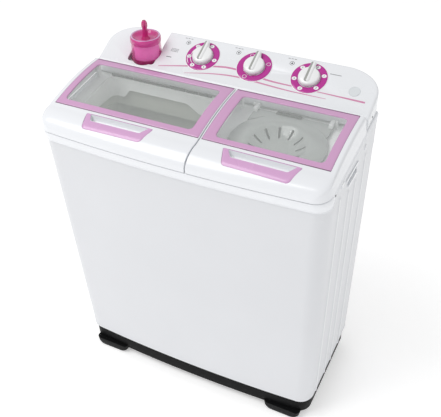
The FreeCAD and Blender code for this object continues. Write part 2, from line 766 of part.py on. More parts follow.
# ---------------------------------------------------------------- tubs and drives
def wash_side():
    x, y = d.wash_x, d.wash_y
    hx, hy = d.tub_half_x, d.tub_half_y
    middle = place_at(x=x, y=y)
    tub = stack("wash_tub", [
        ("add", [box_outline(-hx, hx, -hy, hy)], d.tub_floor - 3, d.tub_top),
        ("cut", [box_outline(3 - hx, hx - 3, 3 - hy, hy - 3)], d.tub_floor, d.tub_top),
        ("cut", [(0.0, 0.0, 14.0)], d.tub_floor - 3, d.tub_floor),
        ("cut", [(150.0, 90.0, 16.0)], d.tub_floor - 3, d.tub_floor),
    ], middle)
    stack("lint_filter", [
        ("add", [box_outline(-55.0, 55.0, hy - 20, hy - 3.5)], 560.0, 700.0),
        ("cut", [box_outline(-51.0, 51.0, hy - 17, hy - 6)], 564.0, 700.0),
    ], middle)
    low = d.tub_floor
    stack("bearing_housing", [
        ("add", [(0.0, 0.0, 62.0)], low - 11, low - 3.2),
        ("add", [(0.0, 0.0, 30.0)], low - 52, low - 11),
        ("add", [(0.0, 0.0, 13.5)], low - 3.2, low + 4),
        ("cut", [(0.0, 0.0, d.shaft_radius + d.shaft_play)], low - 52, low + 4),
    ], middle)
    stack("pulsator_shaft", [("add", [(0.0, 0.0, d.shaft_radius)], low - 84, low + 16)], middle)
    wheel = lathe("pulsator", [[
        (8.0, 7.0), (118.0, 7.0), (124.0, 10.0), (124.0, 13.0), (60.0, 15.0), (34.0, 26.0),
        (14.0, 29.0), (8.0, 29.0),
    ]], place_at(x=x, y=y, z=low))
    vane = drill(wheel, [box_outline(70.0, 112.0, -6.0, 6.0)], 11.5, 16.0)
    repeat_round(wheel, vane, 6)
    lathe("pulsator_cap", [[(0.0, 29.2), (16.0, 29.2), (15.0, 33.0), (0.0, 35.0)]],
          place_at(x=x, y=y, z=low))
    p = d.pulley_radius
    pulley = lathe("drive_pulley", [[
        (8.0, 0.0), (22.0, 0.0), (22.0, 6.0), (p, 6.0), (p - 6, 11.0), (p, 16.0), (22.0, 16.0),
        (22.0, 20.0), (8.0, 20.0),
    ]], place_at(x=x, y=y, z=low - 80))
    hole = drill(pulley, [(50.0, 0.0, 15.0)], 0.0, 20.0)
    repeat_round(pulley, hole, 6)
    q = d.motor_pulley_radius
    lathe("motor_pulley", [[
        (0.0, -20.0), (6.0, -20.0), (6.0, 2.0), (q + 5, 2.0), (q + 5, 5.0), (q, 11.0),
        (q + 5, 17.0), (q + 5, 20.0), (0.0, 20.0),
    ]], place_at(x=d.motor_x, y=y, z=low - 80))
    stack("wash_motor", [
        ("add", [(0.0, 0.0, 62.0)], low - 205, low - 100),
        ("add", [(-44.0, -44.0, 7.0), (-44.0, 44.0, 7.0)], low - 106, low - 3.2),
        ("cut", [(0.0, 0.0, 6.05)], low - 140, low - 100),
    ], place_at(x=d.motor_x, y=y))
    drive_belt()


def drive_belt():
    """Closed belt round both pulleys, clear of them by a hair."""
    x0 = float(d.wash_x)
    x1 = float(d.motor_x)
    y = float(d.wash_y)
    clear = 0.4
    big = float(d.pulley_radius) + clear
    small = float(d.motor_pulley_radius) + 5 + clear
    z = float(d.tub_floor) - 80 + 8.5

    def loop(extra):
        r0 = big + extra
        r1 = small + extra
        lean = math.acos((r0 - r1) / (x0 - x1))
        c, s = math.cos(lean), math.sin(lean)
        a0 = Vector(x0 - r0 * c, y + r0 * s, z)
        a1 = Vector(x1 - r1 * c, y + r1 * s, z)
        b0 = Vector(x0 - r0 * c, y - r0 * s, z)
        b1 = Vector(x1 - r1 * c, y - r1 * s, z)
        return Part.Face(Part.Wire([
            Part.Arc(a0, Vector(x0 + r0, y, z), b0).toShape(),
            Part.LineSegment(b0, b1).toShape(),
            Part.Arc(b1, Vector(x1 - r1, y, z), a1).toShape(),
            Part.LineSegment(a1, a0).toShape(),
        ]))

    freeform("drive_belt", loop(4.0).cut(loop(0.0)).extrude(Vector(0, 0, 5)))


def spin_side():
    middle = place_at(x=d.spin_x, y=d.spin_y)
    low = d.tank_floor
    tank = d.tank_radius
    stack("spin_tank", [
        ("add", [(0.0, 0.0, tank)], low - 3, d.tub_top),
        ("cut", [(0.0, 0.0, tank - 3)], low, d.tub_top),
        ("cut", [(0.0, 0.0, 20.0)], low - 3, low),
    ], middle)
    stack("spin_seal", [
        ("add", [(0.0, 0.0, 28.0)], low - 9, low - 3.2),
        ("add", [(0.0, 0.0, 19.5)], low - 3.2, low + 6),
        ("cut", [(0.0, 0.0, d.shaft_radius + d.shaft_play)], low - 9, low + 6),
    ], middle)
    r = d.basket_radius
    top = 340.0
    basket = lathe("spin_basket", [[
        (8.0, 14.0), (60.0, 14.0), (r - 6, 20.0), (r, 28.0), (r, top), (r - 14, top + 5),
        (r - 14, top + 2.6), (r - 2.2, top - 2), (r - 2.2, 29.0), (r - 7, 22.4), (60.0, 16.4),
        (30.0, 16.4), (14.0, 46.0), (8.0, 46.0),
    ]], place_at(x=d.spin_x, y=d.spin_y, z=low))
    hole = drill(basket, [(0.0, 70.0, 5.0)], -120.0, 120.0, role="XZ_Plane")
    rows = basket.newObject("PartDesign::LinearPattern", "LinearPattern")
    rows.Originals = [hole]
    rows.Direction = (origin_plane(basket, "Z_Axis"), [""])
    rows.Length = 240.0
    rows.Occurrences = 5
    basket.Tip = rows
    stack("spin_shaft", [("add", [(0.0, 0.0, d.shaft_radius)], low - 160, low + 40)], middle)
    lathe("brake_drum", [[
        (8.0, -90.0), (45.0, -90.0), (45.0, -60.0), (42.0, -60.0), (42.0, -86.0), (16.0, -86.0),
        (16.0, -70.0), (8.0, -70.0),
    ]], place_at(x=d.spin_x, y=d.spin_y, z=low))
    stack("spin_motor", [
        ("add", [(0.0, 0.0, 62.0)], low - 260, low - 150),
        ("add", [(0.0, 0.0, 84.0)], low - 272, low - 260),
        ("cut", [(0.0, 0.0, d.shaft_radius + d.shaft_play)], low - 175, low - 150),
    ], middle)
    drill(doc.getObjectsByLabel("spin_motor")[0], [(0.0, 0.0, 9.0)], low - 262, low - 175)
    mounts = []
    for step in range(3):
        angle = math.radians(90 + 120 * step)
        mounts.append((70 * math.cos(angle), 70 * math.sin(angle), 11.0))
    stack("spin_motor_mounts", [("add", mounts, d.foot_top + 5.2, low - 272.3)], middle)
    # brake lever, swinging about an upright pivot beside the drum
    pivot = (d.spin_x + 66, d.spin_y + 46)
    stack("brake_pivot", [
        ("add", [box_outline(-10.0, 10.0, -10.0, 10.0)], low - 259.7, low - 96),
        ("add", [(0.0, 0.0, 4.0)], low - 96, low - 58),
    ], place_at(x=pivot[0], y=pivot[1]))
    stack("brake_lever", [
        ("add", [box_outline(-8.0, 8.0, -62.0, 40.0)], low - 82, low - 78),
        ("add", [(0.0, 0.0, 9.0)], low - 90, low - 66),
        ("cut", [(0.0, 0.0, 4.05)], low - 90, low - 66),
    ], place_at(x=pivot[0], y=pivot[1]))
    stack("brake_pad", [
        ("add", [box_outline(-18.0, -8.2, -48.0, -32.0)], low - 84, low - 72),
    ], place_at(x=pivot[0], y=pivot[1]))


def water_parts():
    """Drain valve with its plug, drain spigot, capacitor and cord gland."""
    x = d.wash_x + 150
    y = d.wash_y + 90
    low = d.tub_floor
    stack("drain_valve", [
        ("add", [(0.0, 0.0, 24.0)], low - 60, low - 3.2),
        ("cut", [(0.0, 0.0, 15.0)], low - 55, low - 3.2),
        ("cut", [(0.0, 0.0, 4.1)], low - 60, low - 55),
    ], place_at(x=x, y=y))
    stack("drain_plug", [
        ("add", [(0.0, 0.0, 14.0)], low - 54.6, low - 30),
        ("add", [(0.0, 0.0, 4.0)], low - 74, low - 54.6),
        ("cut", [box_outline(-4.0, 4.0, -14.0, 14.0)], low - 41, low - 30),
    ], place_at(x=x, y=y))
    stack("drain_spigot", [
        ("add", [(-150.0, 132.0, 22.0)], 0.2, 3.2),
        ("add", [(-150.0, 132.0, 14.0)], -64.0, 0.2),
        ("cut", [(-150.0, 132.0, 11.5)], -64.0, 3.2),
    ], place_at(y=d.side_back - 4, axis=(1, 0, 0), angle=90))
    stack("capacitor", [("add", [(0.0, 0.0, 18.0)], d.foot_top + 5.3, 105.0)], place_at(x=30, y=90))
    stack("cord_gland", [
        ("add", [(0.0, 0.0, 10.0)], 0.0, 4.0),
        ("add", [(0.0, 0.0, 7.0)], -6.0, 0.5),
        ("cut", [(0.0, 0.0, 4.0)], -6.0, 4.0),
    ], place_at(x=120, y=d.side_back - 1, z=118, axis=(1, 0, 0), angle=-90))


# ---------------------------------------------------------------- the whole machine
base_pan()
feet()
cabinet_shell()
back_cover()
side_grips()
top_frame()
rim_plugs()
lid("wash", -CABINET_HALF - 2, SEAM - float(d.seam_half), (-367.5, 41.9),
    (-337.0, 14.0, 20.0, 175.0), (-265.0, -74.0, -56.0, -10.0))
lid("spin", SEAM + float(d.seam_half), CABINET_HALF + 2, (51.4, 367.5),
    (77.0, 343.0, 20.0, 175.0), (110.0, 304.0, -56.0, -11.0))
spin_cover()
control_panel()
dials()
filter_cup()
wash_side()
spin_side()
water_parts()
doc.recompute()

for item in doc.Objects:
    if "Invalid" in item.State or "Error" in item.State:
        raise RuntimeError("%s did not build: %s" % (item.Label, item.State))

os.makedirs("parts", exist_ok=True)
for item in subparts:
    shape = item.Shape
    if shape.isNull() or not shape.isValid() or not shape.Solids:
        raise RuntimeError("%s has no valid solid" % item.Label)
    shape.exportStep("parts/%s.step" % item.Label)
    box = shape.BoundBox
    print("%-20s solids %d volume %9.0f  x %7.1f %7.1f  y %7.1f %7.1f  z %7.1f %7.1f" % (
        item.Label, len(shape.Solids), shape.Volume, box.XMin, box.XMax, box.YMin, box.YMax,
        box.ZMin, box.ZMax))
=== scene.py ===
"""Twin tub washing machine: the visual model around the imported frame.

Shapes are worked out in millimetres, in the machine's own frame: +Z up, +X to the right of the
front, which faces -Y. make_piece() turns them into metres.
"""
import math

import bmesh
import bpy
from mathutils import Matrix, Vector


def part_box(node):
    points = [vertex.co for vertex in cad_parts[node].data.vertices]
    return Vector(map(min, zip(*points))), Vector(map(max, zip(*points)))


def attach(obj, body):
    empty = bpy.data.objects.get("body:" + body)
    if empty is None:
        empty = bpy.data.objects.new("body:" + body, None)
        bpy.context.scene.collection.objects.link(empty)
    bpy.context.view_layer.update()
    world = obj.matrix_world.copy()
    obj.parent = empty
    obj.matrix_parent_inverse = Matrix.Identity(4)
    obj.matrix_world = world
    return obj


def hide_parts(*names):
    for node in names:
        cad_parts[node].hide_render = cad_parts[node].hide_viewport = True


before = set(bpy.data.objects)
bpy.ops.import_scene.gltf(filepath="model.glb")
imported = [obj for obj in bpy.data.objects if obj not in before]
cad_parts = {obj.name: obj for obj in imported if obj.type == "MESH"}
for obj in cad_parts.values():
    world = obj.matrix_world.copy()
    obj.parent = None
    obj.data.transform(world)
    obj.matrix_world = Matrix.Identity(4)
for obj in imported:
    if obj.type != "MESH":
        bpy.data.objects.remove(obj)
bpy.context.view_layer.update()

MM = 0.001
PI = math.pi
MIRROR = Matrix.Scale(-1, 4, Vector((1, 0, 0)))


# ---------------------------------------------------------------- driving sizes
SKIRT_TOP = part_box("base_pan")[1][2] / MM
CABINET_TOP = 798.0
RIM_FRONT = 831.0
RIM_SLOPE = 0.103
RIM_HALF = 388.0
RIM_FLARE = 0.326
CABINET_HALF = 386.5
BASE_HALF = 374.0
FRONT_TOP = 197.5
FRONT_BASE = 173.5
FRONT_BOW = 11.0
LID_HALF = 387.1
LID_FRONT = 208.0
LID_NOSE = 60.0
LID_CHIN = 838.0
LID_BROW = 874.0
CORNER = 42.0
SIDE_BACK = 160.0
SEAM = 46.0
WINDOW_FRONT = -137.7
WINDOW_BACK = 62.3
WINDOW_FRONT_Z = 877.7
WINDOW_BACK_Z = 903.8
WINDOW_ARCH = 7.5
PANEL_HALF = 385.0
PANEL_FRONT = 80.0
PANEL_BACK = 205.0
PANEL_LIP = (84.0, 894.5)
PANEL_TOP = (199.5, 949.5)
PANEL_TILT = math.atan2(PANEL_TOP[1] - PANEL_LIP[1], PANEL_TOP[0] - PANEL_LIP[0])
RING_Y = 149.5
RING_OUTER = 46.2
RING_INNER = 28.6
MARK_RADIUS = 37.4
DIALS = {"wash": -91.2, "selector": 57.6, "spin": 207.0}
CUP = (-254.0, 132.0, 889.0)
CUP_SEAT = 43.6
CUP_SHELF = 892.0
TRAY_UNDER = 885.2
WASH_TUB = (-159.0, -20.0)
SPIN_TUB = (203.0, -48.0)


# ---------------------------------------------------------------- small geometry
def mix(a, b, part):
    return a + (b - a) * part


def smooth_step(low, high, value):
    part = min(max((value - low) / (high - low), 0.0), 1.0)
    return part * part * (3 - 2 * part)


def rim_height(y):
    """The sloping line where the lids meet the rim."""
    return RIM_FRONT + (y + 200.0) * RIM_SLOPE


def radii_of(radii, count):
    """One radius for every corner, or a list of them."""
    return radii if isinstance(radii, (list, tuple)) else [radii] * count


def outline(x0, x1, front, back, radii, counts):
    """Plan ring of (x, y, normal x, normal y), anticlockwise from the front left corner.

    front is a function of x. radii are (x, y) pairs: front left, front right, back right and
    back left. counts are the steps along a corner, the front, a side and the back.
    """
    fl, fr, br, bl = [r if isinstance(r, tuple) else (r, r) for r in radii_of(radii, 4)]
    corner, along_front, along_side, along_back = counts
    left_y = front(x0 + fl[0]) + fl[1]
    right_y = front(x1 - fr[0]) + fr[1]
    ring = []

    def add_corner(cx, cy, size, start):
        for step in range(corner + 1):
            angle = start + PI / 2 * step / corner
            nx, ny = math.cos(angle), math.sin(angle)
            ring.append((cx + size[0] * nx, cy + size[1] * ny, nx, ny))

    add_corner(x0 + fl[0], left_y, fl, PI)
    for step in range(1, along_front):
        x = mix(x0 + fl[0], x1 - fr[0], step / along_front)
        ring.append((x, front(x), 0.0, -1.0))
    add_corner(x1 - fr[0], right_y, fr, 1.5 * PI)
    for step in range(1, along_side):
        ring.append((x1, mix(right_y, back - br[1], step / along_side), 1.0, 0.0))
    add_corner(x1 - br[0], back - br[1], br, 0.0)
    for step in range(1, along_back):
        ring.append((mix(x1 - br[0], x0 + bl[0], step / along_back), back, 0.0, 1.0))
    add_corner(x0 + bl[0], back - bl[1], bl, 0.5 * PI)
    for step in range(1, along_side):
        ring.append((x0, mix(back - bl[1], left_y, step / along_side), -1.0, 0.0))
    return ring


def level(value):
    """A front edge that is straight along X."""
    return lambda x: value


def bowed(depth, half):
    """A front edge that bulges forwards between two corners."""
    span = half - CORNER
    return lambda x: -depth - FRONT_BOW * max(0.0, 1 - (x / span) ** 2)


def rounded_polygon(points, radii, steps=6):
    """Ring of (x, y): a polygon, listed anticlockwise, with rounded corners."""
    ring = []
    count = len(points)
    radii = radii_of(radii, count)
    for index, point in enumerate(points):
        here = Vector(point)
        before = Vector(points[index - 1]) - here
        after = Vector(points[(index + 1) % count]) - here
        half = before.angle(after) / 2
        radius = radii[index]
        reach = radius / math.tan(half)
        centre = here + (before.normalized() + after.normalized()).normalized() * (
            radius / math.sin(half))
        start = here + before.normalized() * reach - centre
        stop = here + after.normalized() * reach - centre
        turn = start.angle_signed(stop)
        for step in range(steps + 1):
            ring.append(tuple(centre + Matrix.Rotation(-turn * step / steps, 2) @ start))
    return ring


def rounded_box(x0, x1, y0, y1, radius, steps=6):
    return rounded_polygon([(x0, y0), (x1, y0), (x1, y1), (x0, y1)], radius, steps)


def oval(cx, cy, half_x, half_y, count=32):
    turns = [2 * PI * k / count for k in range(count)]
    return [(cx + half_x * math.cos(t), cy + half_y * math.sin(t)) for t in turns]


def circle(cx, cy, radius, count):
    return oval(cx, cy, radius, radius, count)


def raised(ring, height):
    """Plan points lifted to a height, which is a number or a function of x and y."""
    if callable(height):
        return [(p[0], p[1], height(p[0], p[1])) for p in ring]
    return [(p[0], p[1], height) for p in ring]


class Shape:
    """Vertices and faces gathered in millimetres before they become a piece."""

    def __init__(self):
        self.verts = []
        self.faces = []

    def ring(self, points):
        start = len(self.verts)
        self.verts.extend(Vector(p) for p in points)
        return range(start, start + len(points))

    def bridge(self, low, high):
        count = len(low)
        for k in range(count):
            nxt = (k + 1) % count
            self.faces.append((low[k], low[nxt], high[nxt], high[k]))

    def loft(self, rings):
        """A body through rings of points, closed at both ends."""
        made = [self.ring(points) for points in rings]
        for low, high in zip(made, made[1:]):
            self.bridge(low, high)
        self.faces += [tuple(reversed(made[0])), tuple(made[-1])]
        return self

    def closed_loft(self, rings):
        """A tube whose last ring joins its first, such as a frame's section."""
        made = [self.ring(points) for points in rings]
        for low, high in zip(made, made[1:] + made[:1]):
            self.bridge(low, high)
        return self

    def moved(self, matrix):
        self.verts = [matrix @ v for v in self.verts]
        return self

    def add(self, other):
        start = len(self.verts)
        self.verts.extend(other.verts)
        self.faces.extend(tuple(start + k for k in face) for face in other.faces)
        return self


def both_sides(shape):
    """A right-hand shape together with its mirror image."""
    return Shape().add(shape).moved(MIRROR).add(shape)


def lathe(profile, steps=64, cx=0.0, cy=0.0, base=0.0, closed=True):
    """A profile of (radius, height) turned about an upright axis."""
    rings = [raised(circle(cx, cy, max(radius, 0.01), steps), base + height)
             for radius, height in profile]
    return Shape().closed_loft(rings) if closed else Shape().loft(rings)


def rod(radius, low, high, steps, cx=0.0, cy=0.0):
    """A plain upright cylinder, for stems and round cut-outs."""
    return lathe([(0.0, low), (radius, low), (radius, high), (0.0, high)], steps, cx, cy,
                 closed=False)


def slab(ring, low, high, bevel=0.0):
    """A flat plate from a ring of (x, y), with a small bevel round its top."""
    centre = Vector((sum(p[0] for p in ring) / len(ring), sum(p[1] for p in ring) / len(ring)))
    size = max((Vector(p) - centre).length for p in ring)
    inner = [tuple(centre + (Vector(p) - centre) * (1 - bevel / size)) for p in ring]
    rings = [raised(ring, low)]
    if bevel:
        rings.append(raised(ring, high - bevel))
    return Shape().loft(rings + [raised(inner, high)])


def brick(x0, x1, y0, y1, z0, z1, bevel=0.0):
    return slab(rounded_box(x0, x1, y0, y1, max(bevel, 0.3), 3), z0, z1, bevel)


def mesh_of(name, shape):
    mesh = bpy.data.meshes.new(name)
    mesh.from_pydata([tuple(v * MM) for v in shape.verts], [], shape.faces)
    work = bmesh.new()
    work.from_mesh(mesh)
    bmesh.ops.remove_doubles(work, verts=work.verts, dist=0.002 * MM)
    bmesh.ops.recalc_face_normals(work, faces=work.faces)
    work.to_mesh(mesh)
    work.free()
    return mesh


def applied(obj):
    """Turn an object's modifiers into its mesh."""
    bpy.context.view_layer.update()
    graph = bpy.context.evaluated_depsgraph_get()
    mesh = bpy.data.meshes.new_from_object(obj.evaluated_get(graph))
    obj.modifiers.clear()
    obj.data = mesh


def new_object(name, data):
    obj = bpy.data.objects.new(name, data)
    bpy.context.scene.collection.objects.link(obj)
    return obj


def carve(obj, cutters):
    """Cut shapes out of an object."""
    for cutter in cutters:
        tool = new_object("tool", mesh_of("tool", cutter))
        cut = obj.modifiers.new("cut", "BOOLEAN")
        cut.operation = "DIFFERENCE"
        cut.solver = "EXACT"
        cut.object = tool
        applied(obj)
        bpy.data.objects.remove(tool)


def place_piece(obj, body, material, nodes=()):
    """Give a piece its material and its body, and hide the CAD nodes that it stands for."""
    obj.data.materials.clear()
    obj.data.materials.append(material)
    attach(obj, body)
    if nodes:
        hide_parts(*nodes)


def make_piece(name, shape, body, material, nodes=(), cutters=(), sharp=32.0, round_by=0.0):
    """A finished piece: mesh, cut-outs, rounded edges, material, and its place in the frame."""
    obj = new_object(name, mesh_of(name, shape))
    carve(obj, cutters)
    if round_by:
        bevel = obj.modifiers.new("round", "BEVEL")
        bevel.width = round_by * MM
        bevel.segments = 2
        bevel.limit_method = "ANGLE"
        bevel.angle_limit = math.radians(50)
        applied(obj)
    obj.name = name
    obj.data.name = name
    for face in obj.data.polygons:
        face.use_smooth = True
    obj.data.set_sharp_from_angle(angle=math.radians(sharp))
    place_piece(obj, body, material, nodes)


# ---------------------------------------------------------------- materials
def shader(name, colour, rough, metal=0.0, tint=0.03, tint_scale=3.0, grain=0.05, grain_scale=900.0,
           rough_spread=0.06, **sockets):
    """Principled material with slow colour drift, uneven gloss and a fine surface grain."""
    material = bpy.data.materials.new(name)
    material.use_nodes = True
    tree = material.node_tree
    main = tree.nodes["Principled BSDF"]
    place = tree.nodes.new("ShaderNodeTexCoord")

    def set_inputs(node, values):
        for socket, value in values.items():
            node.inputs[socket.replace("_", " ")].default_value = value

    def noise_through(kind, entry, leaving, target, scale, detail, **values):
        """Lead noise through a node of this kind into a socket of the shader."""
        noise = tree.nodes.new("ShaderNodeTexNoise")
        set_inputs(noise, {"Scale": scale, "Detail": detail})
        tree.links.new(place.outputs["Object"], noise.inputs["Vector"])
        node = tree.nodes.new(kind)
        set_inputs(node, values)
        tree.links.new(noise.outputs["Fac"], node.inputs[entry])
        tree.links.new(node.outputs[leaving], main.inputs[target])
        return node

    ramp = noise_through("ShaderNodeValToRGB", "Fac", "Color", "Base Color", tint_scale, 5.0)
    for stop, position, drift in zip(ramp.color_ramp.elements, (0.3, 0.7), (1 - tint, 1 + tint)):
        stop.position = position
        stop.color = (*[min(1.0, max(0.0, c * drift)) for c in colour], 1)
    noise_through("ShaderNodeMapRange", "Value", "Result", "Roughness", tint_scale * 7, 6.0,
                  To_Min=max(0.02, rough - rough_spread), To_Max=min(1.0, rough + rough_spread))
    noise_through("ShaderNodeBump", "Height", "Normal", "Normal", grain_scale, 2.0,
                  Strength=grain, Distance=0.0004)
    set_inputs(main, {"Metallic": metal, **sockets})
    return material


def brushed(name, colour, rough):
    """Metal with fine brushing across its height."""
    material = shader(name, colour, rough, metal=1.0, tint=0.08, tint_scale=8.0)
    tree = material.node_tree
    mapping = tree.nodes.new("ShaderNodeMapping")
    mapping.inputs["Scale"].default_value = (1.0, 1.0, 60.0)
    tree.links.new(tree.nodes["Texture Coordinate"].outputs["Object"], mapping.inputs["Vector"])
    lines = tree.nodes["Noise Texture.002"]
    lines.inputs["Scale"].default_value = 120.0
    tree.links.new(mapping.outputs["Vector"], lines.inputs["Vector"])
    return material


def coat(weight, rough):
    """Sockets of a clear coat."""
    return {"Coat_Weight": weight, "Coat_Roughness": rough}


TOP_WHITE = shader("top_white", (0.84, 0.855, 0.885), 0.22, tint=0.012, grain=0.03,
                   **coat(0.3, 0.12))
PANEL_WHITE = shader("panel_white", (0.82, 0.835, 0.86), 0.26, tint=0.012, grain=0.03,
                     **coat(0.25, 0.15))
CABINET_WHITE = shader("cabinet_white", (0.72, 0.73, 0.755), 0.36, tint=0.015, grain=0.10,
                       grain_scale=1400.0, **coat(0.1, 0.25))
BACK_SHEET = shader("back_sheet", (0.62, 0.63, 0.645), 0.42, tint=0.02, grain=0.12)
BASE_BLACK = shader("base_black", (0.0055, 0.0058, 0.0062), 0.5, tint=0.1, grain=0.15,
                    Specular_IOR_Level=0.1)
RUBBER = shader("rubber", (0.03, 0.03, 0.032), 0.75, tint=0.2, grain=0.4)
PINK = shader("border_pink", (0.62, 0.345, 0.565), 0.22, tint=0.02, grain=0.02,
              **coat(0.4, 0.06))
EDGE_MAUVE = shader("edge_mauve", (0.20, 0.10, 0.17), 0.4, tint=0.05, grain=0.05)
GRIP_PINK = shader("grip_pink", (0.66, 0.375, 0.62), 0.26, tint=0.02, grain=0.04,
                   **coat(0.3, 0.08))
MAGENTA = shader("ring_magenta", (0.47, 0.020, 0.285), 0.2, tint=0.06, grain=0.02,
                 **coat(0.4, 0.06))
KNOB_WHITE = shader("knob_white", (0.86, 0.865, 0.87), 0.25, tint=0.012, grain=0.03,
                    **coat(0.3, 0.1))
# Painted shade: grey for the left flank of the knobs' finger ridge.
KNOB_SHADE_GREY = shader("knob_painted_shade", (0.34, 0.35, 0.33), 0.3, tint=0.03, grain=0.03)
MARK_GREY = shader("mark_grey", (0.30, 0.31, 0.32), 0.5, tint=0.05)
MARK_DARK = shader("mark_dark", (0.03, 0.03, 0.035), 0.5, tint=0.05)
MARK_PINK = shader("mark_pink", (0.62, 0.24, 0.40), 0.4, tint=0.04)
BADGE = shader("badge_silver", (0.70, 0.73, 0.75), 0.25, tint=0.03, grain=0.03,
               **coat(0.6, 0.05))
TUB_GREY = shader("tub_grey", (0.55, 0.57, 0.51), 0.38, tint=0.03, grain=0.08)
APRON = shader("frame_white", (0.86, 0.88, 0.87), 0.34, tint=0.015, grain=0.05)
COVER_GREY = shader("cover_grey", (0.36, 0.38, 0.37), 0.14, tint=0.03, grain=0.03, Alpha=0.9,
                    **coat(0.7, 0.05))
LATCH_GREY = shader("latch_grey", (0.045, 0.045, 0.042), 0.4, tint=0.05, grain=0.2)
# Painted shade: a near-black for holes and slots whose insides lie in shade.
HOLE_SHADE_DARK = shader("hole_painted_shade", (0.025, 0.025, 0.022), 0.6, tint=0.1)
PULSATOR = shader("pulsator_grey", (0.36, 0.40, 0.44), 0.35, tint=0.03, grain=0.06)
BASKET = shader("basket_grey", (0.55, 0.57, 0.57), 0.3, tint=0.03, grain=0.05)
GLASSY = {"tint": 0.05, "grain": 0.0, "rough_spread": 0.02}
# Painted sheen: the pale emission makes the clear panes glow as if catching light.
WINDOW_GLASS_SHEEN = shader("window_clear", (0.88, 0.92, 0.90), 0.05, tint=0.02, grain=0.0, Alpha=0.14,
               rough_spread=0.02, Emission_Color=(0.9, 0.95, 0.92, 1), Emission_Strength=0.15)
CUP_LID = shader("cup_lid_magenta", (0.72, 0.03, 0.30), 0.05, Alpha=0.66, **GLASSY,
                 **coat(0.9, 0.03))
# Painted shade: a darker red for the cup's foot where it sits down in its seat.
CUP_FOOT_SHADE = shader("cup_foot_painted_shade", (0.36, 0.006, 0.11), 0.08, Alpha=0.8, **GLASSY,
                 **coat(0.6, 0.04))
CUP_PINK = shader("cup_magenta", (0.85, 0.05, 0.38), 0.05, Alpha=0.30, **GLASSY,
                 **coat(0.9, 0.03))
CUP_DARK = shader("cup_nipple_magenta", (0.62, 0.015, 0.20), 0.07, Alpha=0.75, **GLASSY,
                 **coat(0.4, 0.03))
# Painted light: emission makes the cartridge glow so it shows brighter through the cup than the
# lamps make it.
CARTRIDGE_GLOWING = shader("cartridge_pink", (0.95, 0.46, 0.84), 0.5, tint=0.05, grain=0.5,
                   grain_scale=700.0, Emission_Color=(0.95, 0.35, 0.80, 1), Emission_Strength=0.22)
# Painted highlight: a lighter white for the rib strips, standing for light catching the pressed
# ribs.
RIB_HIGHLIGHT_WHITE = shader("rib_painted_highlight", (0.90, 0.91, 0.92), 0.3, tint=0.012, grain=0.05)
STEEL = brushed("steel", (0.55, 0.56, 0.57), 0.32)
MOTOR_METAL = shader("motor_metal", (0.40, 0.41, 0.43), 0.42, metal=0.9, tint=0.08, grain=0.4)
SWITCH = shader("switch_plastic", (0.28, 0.29, 0.31), 0.45, tint=0.05, grain=0.2)


# ---------------------------------------------------------------- cabinet
def side_half(z):
    return mix(BASE_HALF, CABINET_HALF, (z - SKIRT_TOP) / (CABINET_TOP - SKIRT_TOP))


def front_depth(z):
    return mix(FRONT_BASE, FRONT_TOP, (z - SKIRT_TOP) / (CABINET_TOP - SKIRT_TOP))


def seam_height(y):
    """Upper edge of the cabinet: level along the front, then just under the rim's line."""
    return mix(CABINET_TOP, rim_height(y) - 9.0, smooth_step(-170.0, -138.0, y))


RIBS = ((-113.0, 795.0), (-42.0, 766.0), (12.0, 762.0), (83.0, 795.0))


def rib_lift(y, z):
    """How far the pressed ribs stand out of a side."""
    lift = 0.0
    for middle, top in RIBS:
        across = max(0.0, 1 - ((y - middle) / 4.6) ** 2) ** 0.5
        lift = max(lift, 2.3 * across * smooth_step(top + 2, top - 5, z))
    return lift


def cabinet_ring(height, inset=0.0, ribs=True):
    """Plan ring of the cabinet; height is a number or a function of y."""
    base = height if not callable(height) else CABINET_TOP
    half = side_half(base) - inset
    corner = CORNER - inset
    ring = outline(-half, half, bowed(front_depth(base) - inset, half + inset), SIDE_BACK,
                   (corner, corner, 1.0, 1.0), (12, 40, 170, 24))
    points = []
    for x, y, nx, ny in ring:
        z = height(y) if callable(height) else height
        lift = rib_lift(y, z) * abs(nx) if ribs and abs(nx) > 0.95 and y < 150 else 0.0
        lift += (side_half(z) - side_half(base)) * abs(nx)
        if ny < 0:
            y += ny * (front_depth(z) - front_depth(base))
        points.append((x + math.copysign(lift, nx), y, z))
    return points


def above_seam(rise):
    return lambda y: seam_height(y) + rise


def cabinet_shell():
    low = SKIRT_TOP
    ribs_end, ribs_over = 733.0, 773.8
    levels = [(low, 1.2), (low + 0.4, 0.0), (low + 2.0, -0.8), (low + 6.0, -0.8), (low + 8.0, 0.0)]
    levels += [(mix(low + 8.0, ribs_end, k / 20), 0.0) for k in range(1, 21)]
    levels += [(mix(ribs_end, ribs_over, k / 12), 0.0) for k in range(1, 13)]
    rings = [cabinet_ring(z, inset) for z, inset in levels]
    for step in range(1, 27):
        rings.append(cabinet_ring(lambda y, part=step / 26: mix(ribs_over, seam_height(y) - 1.2,
                                                                part)))
    for height, inset in ((above_seam(-0.8), 1.4), (above_seam(-1.0), 3.0), (700.0, 3.0),
                          (low, 3.0)):
        rings.append(cabinet_ring(height, inset, ribs=False))
    open_back = brick(-400, 400, 158.0, 180, 60, 900)
    slots = [brick(x0, x0 + 50, -63.5, 9.5, 787.2, 806.8) for x0 in (-400, 350)]
    make_piece("cabinet_shell_body", Shape().closed_loft(rings), "cabinet", CABINET_WHITE,
               ("cabinet_shell",), [open_back] + slots, sharp=40)


def rib_highlight_strips():
    """Smooth strips along the pressed ribs, coloured lighter than the cabinet as a painted
    highlight where light catches them.
    """
    shape = Shape()
    for middle, top in RIBS:
        rings = []
        for z in (SKIRT_TOP + 9.0, top - 6.0):
            near, proud = side_half(z) + 1.2, side_half(z) + 2.6
            rings.append([(near, middle + 2.6, z), (proud, middle + 1.4, z),
                          (proud, middle - 1.4, z), (near, middle - 2.6, z)])
        shape.loft(rings)
    make_piece("side_rib_highlights", both_sides(shape), "cabinet", RIB_HIGHLIGHT_WHITE)


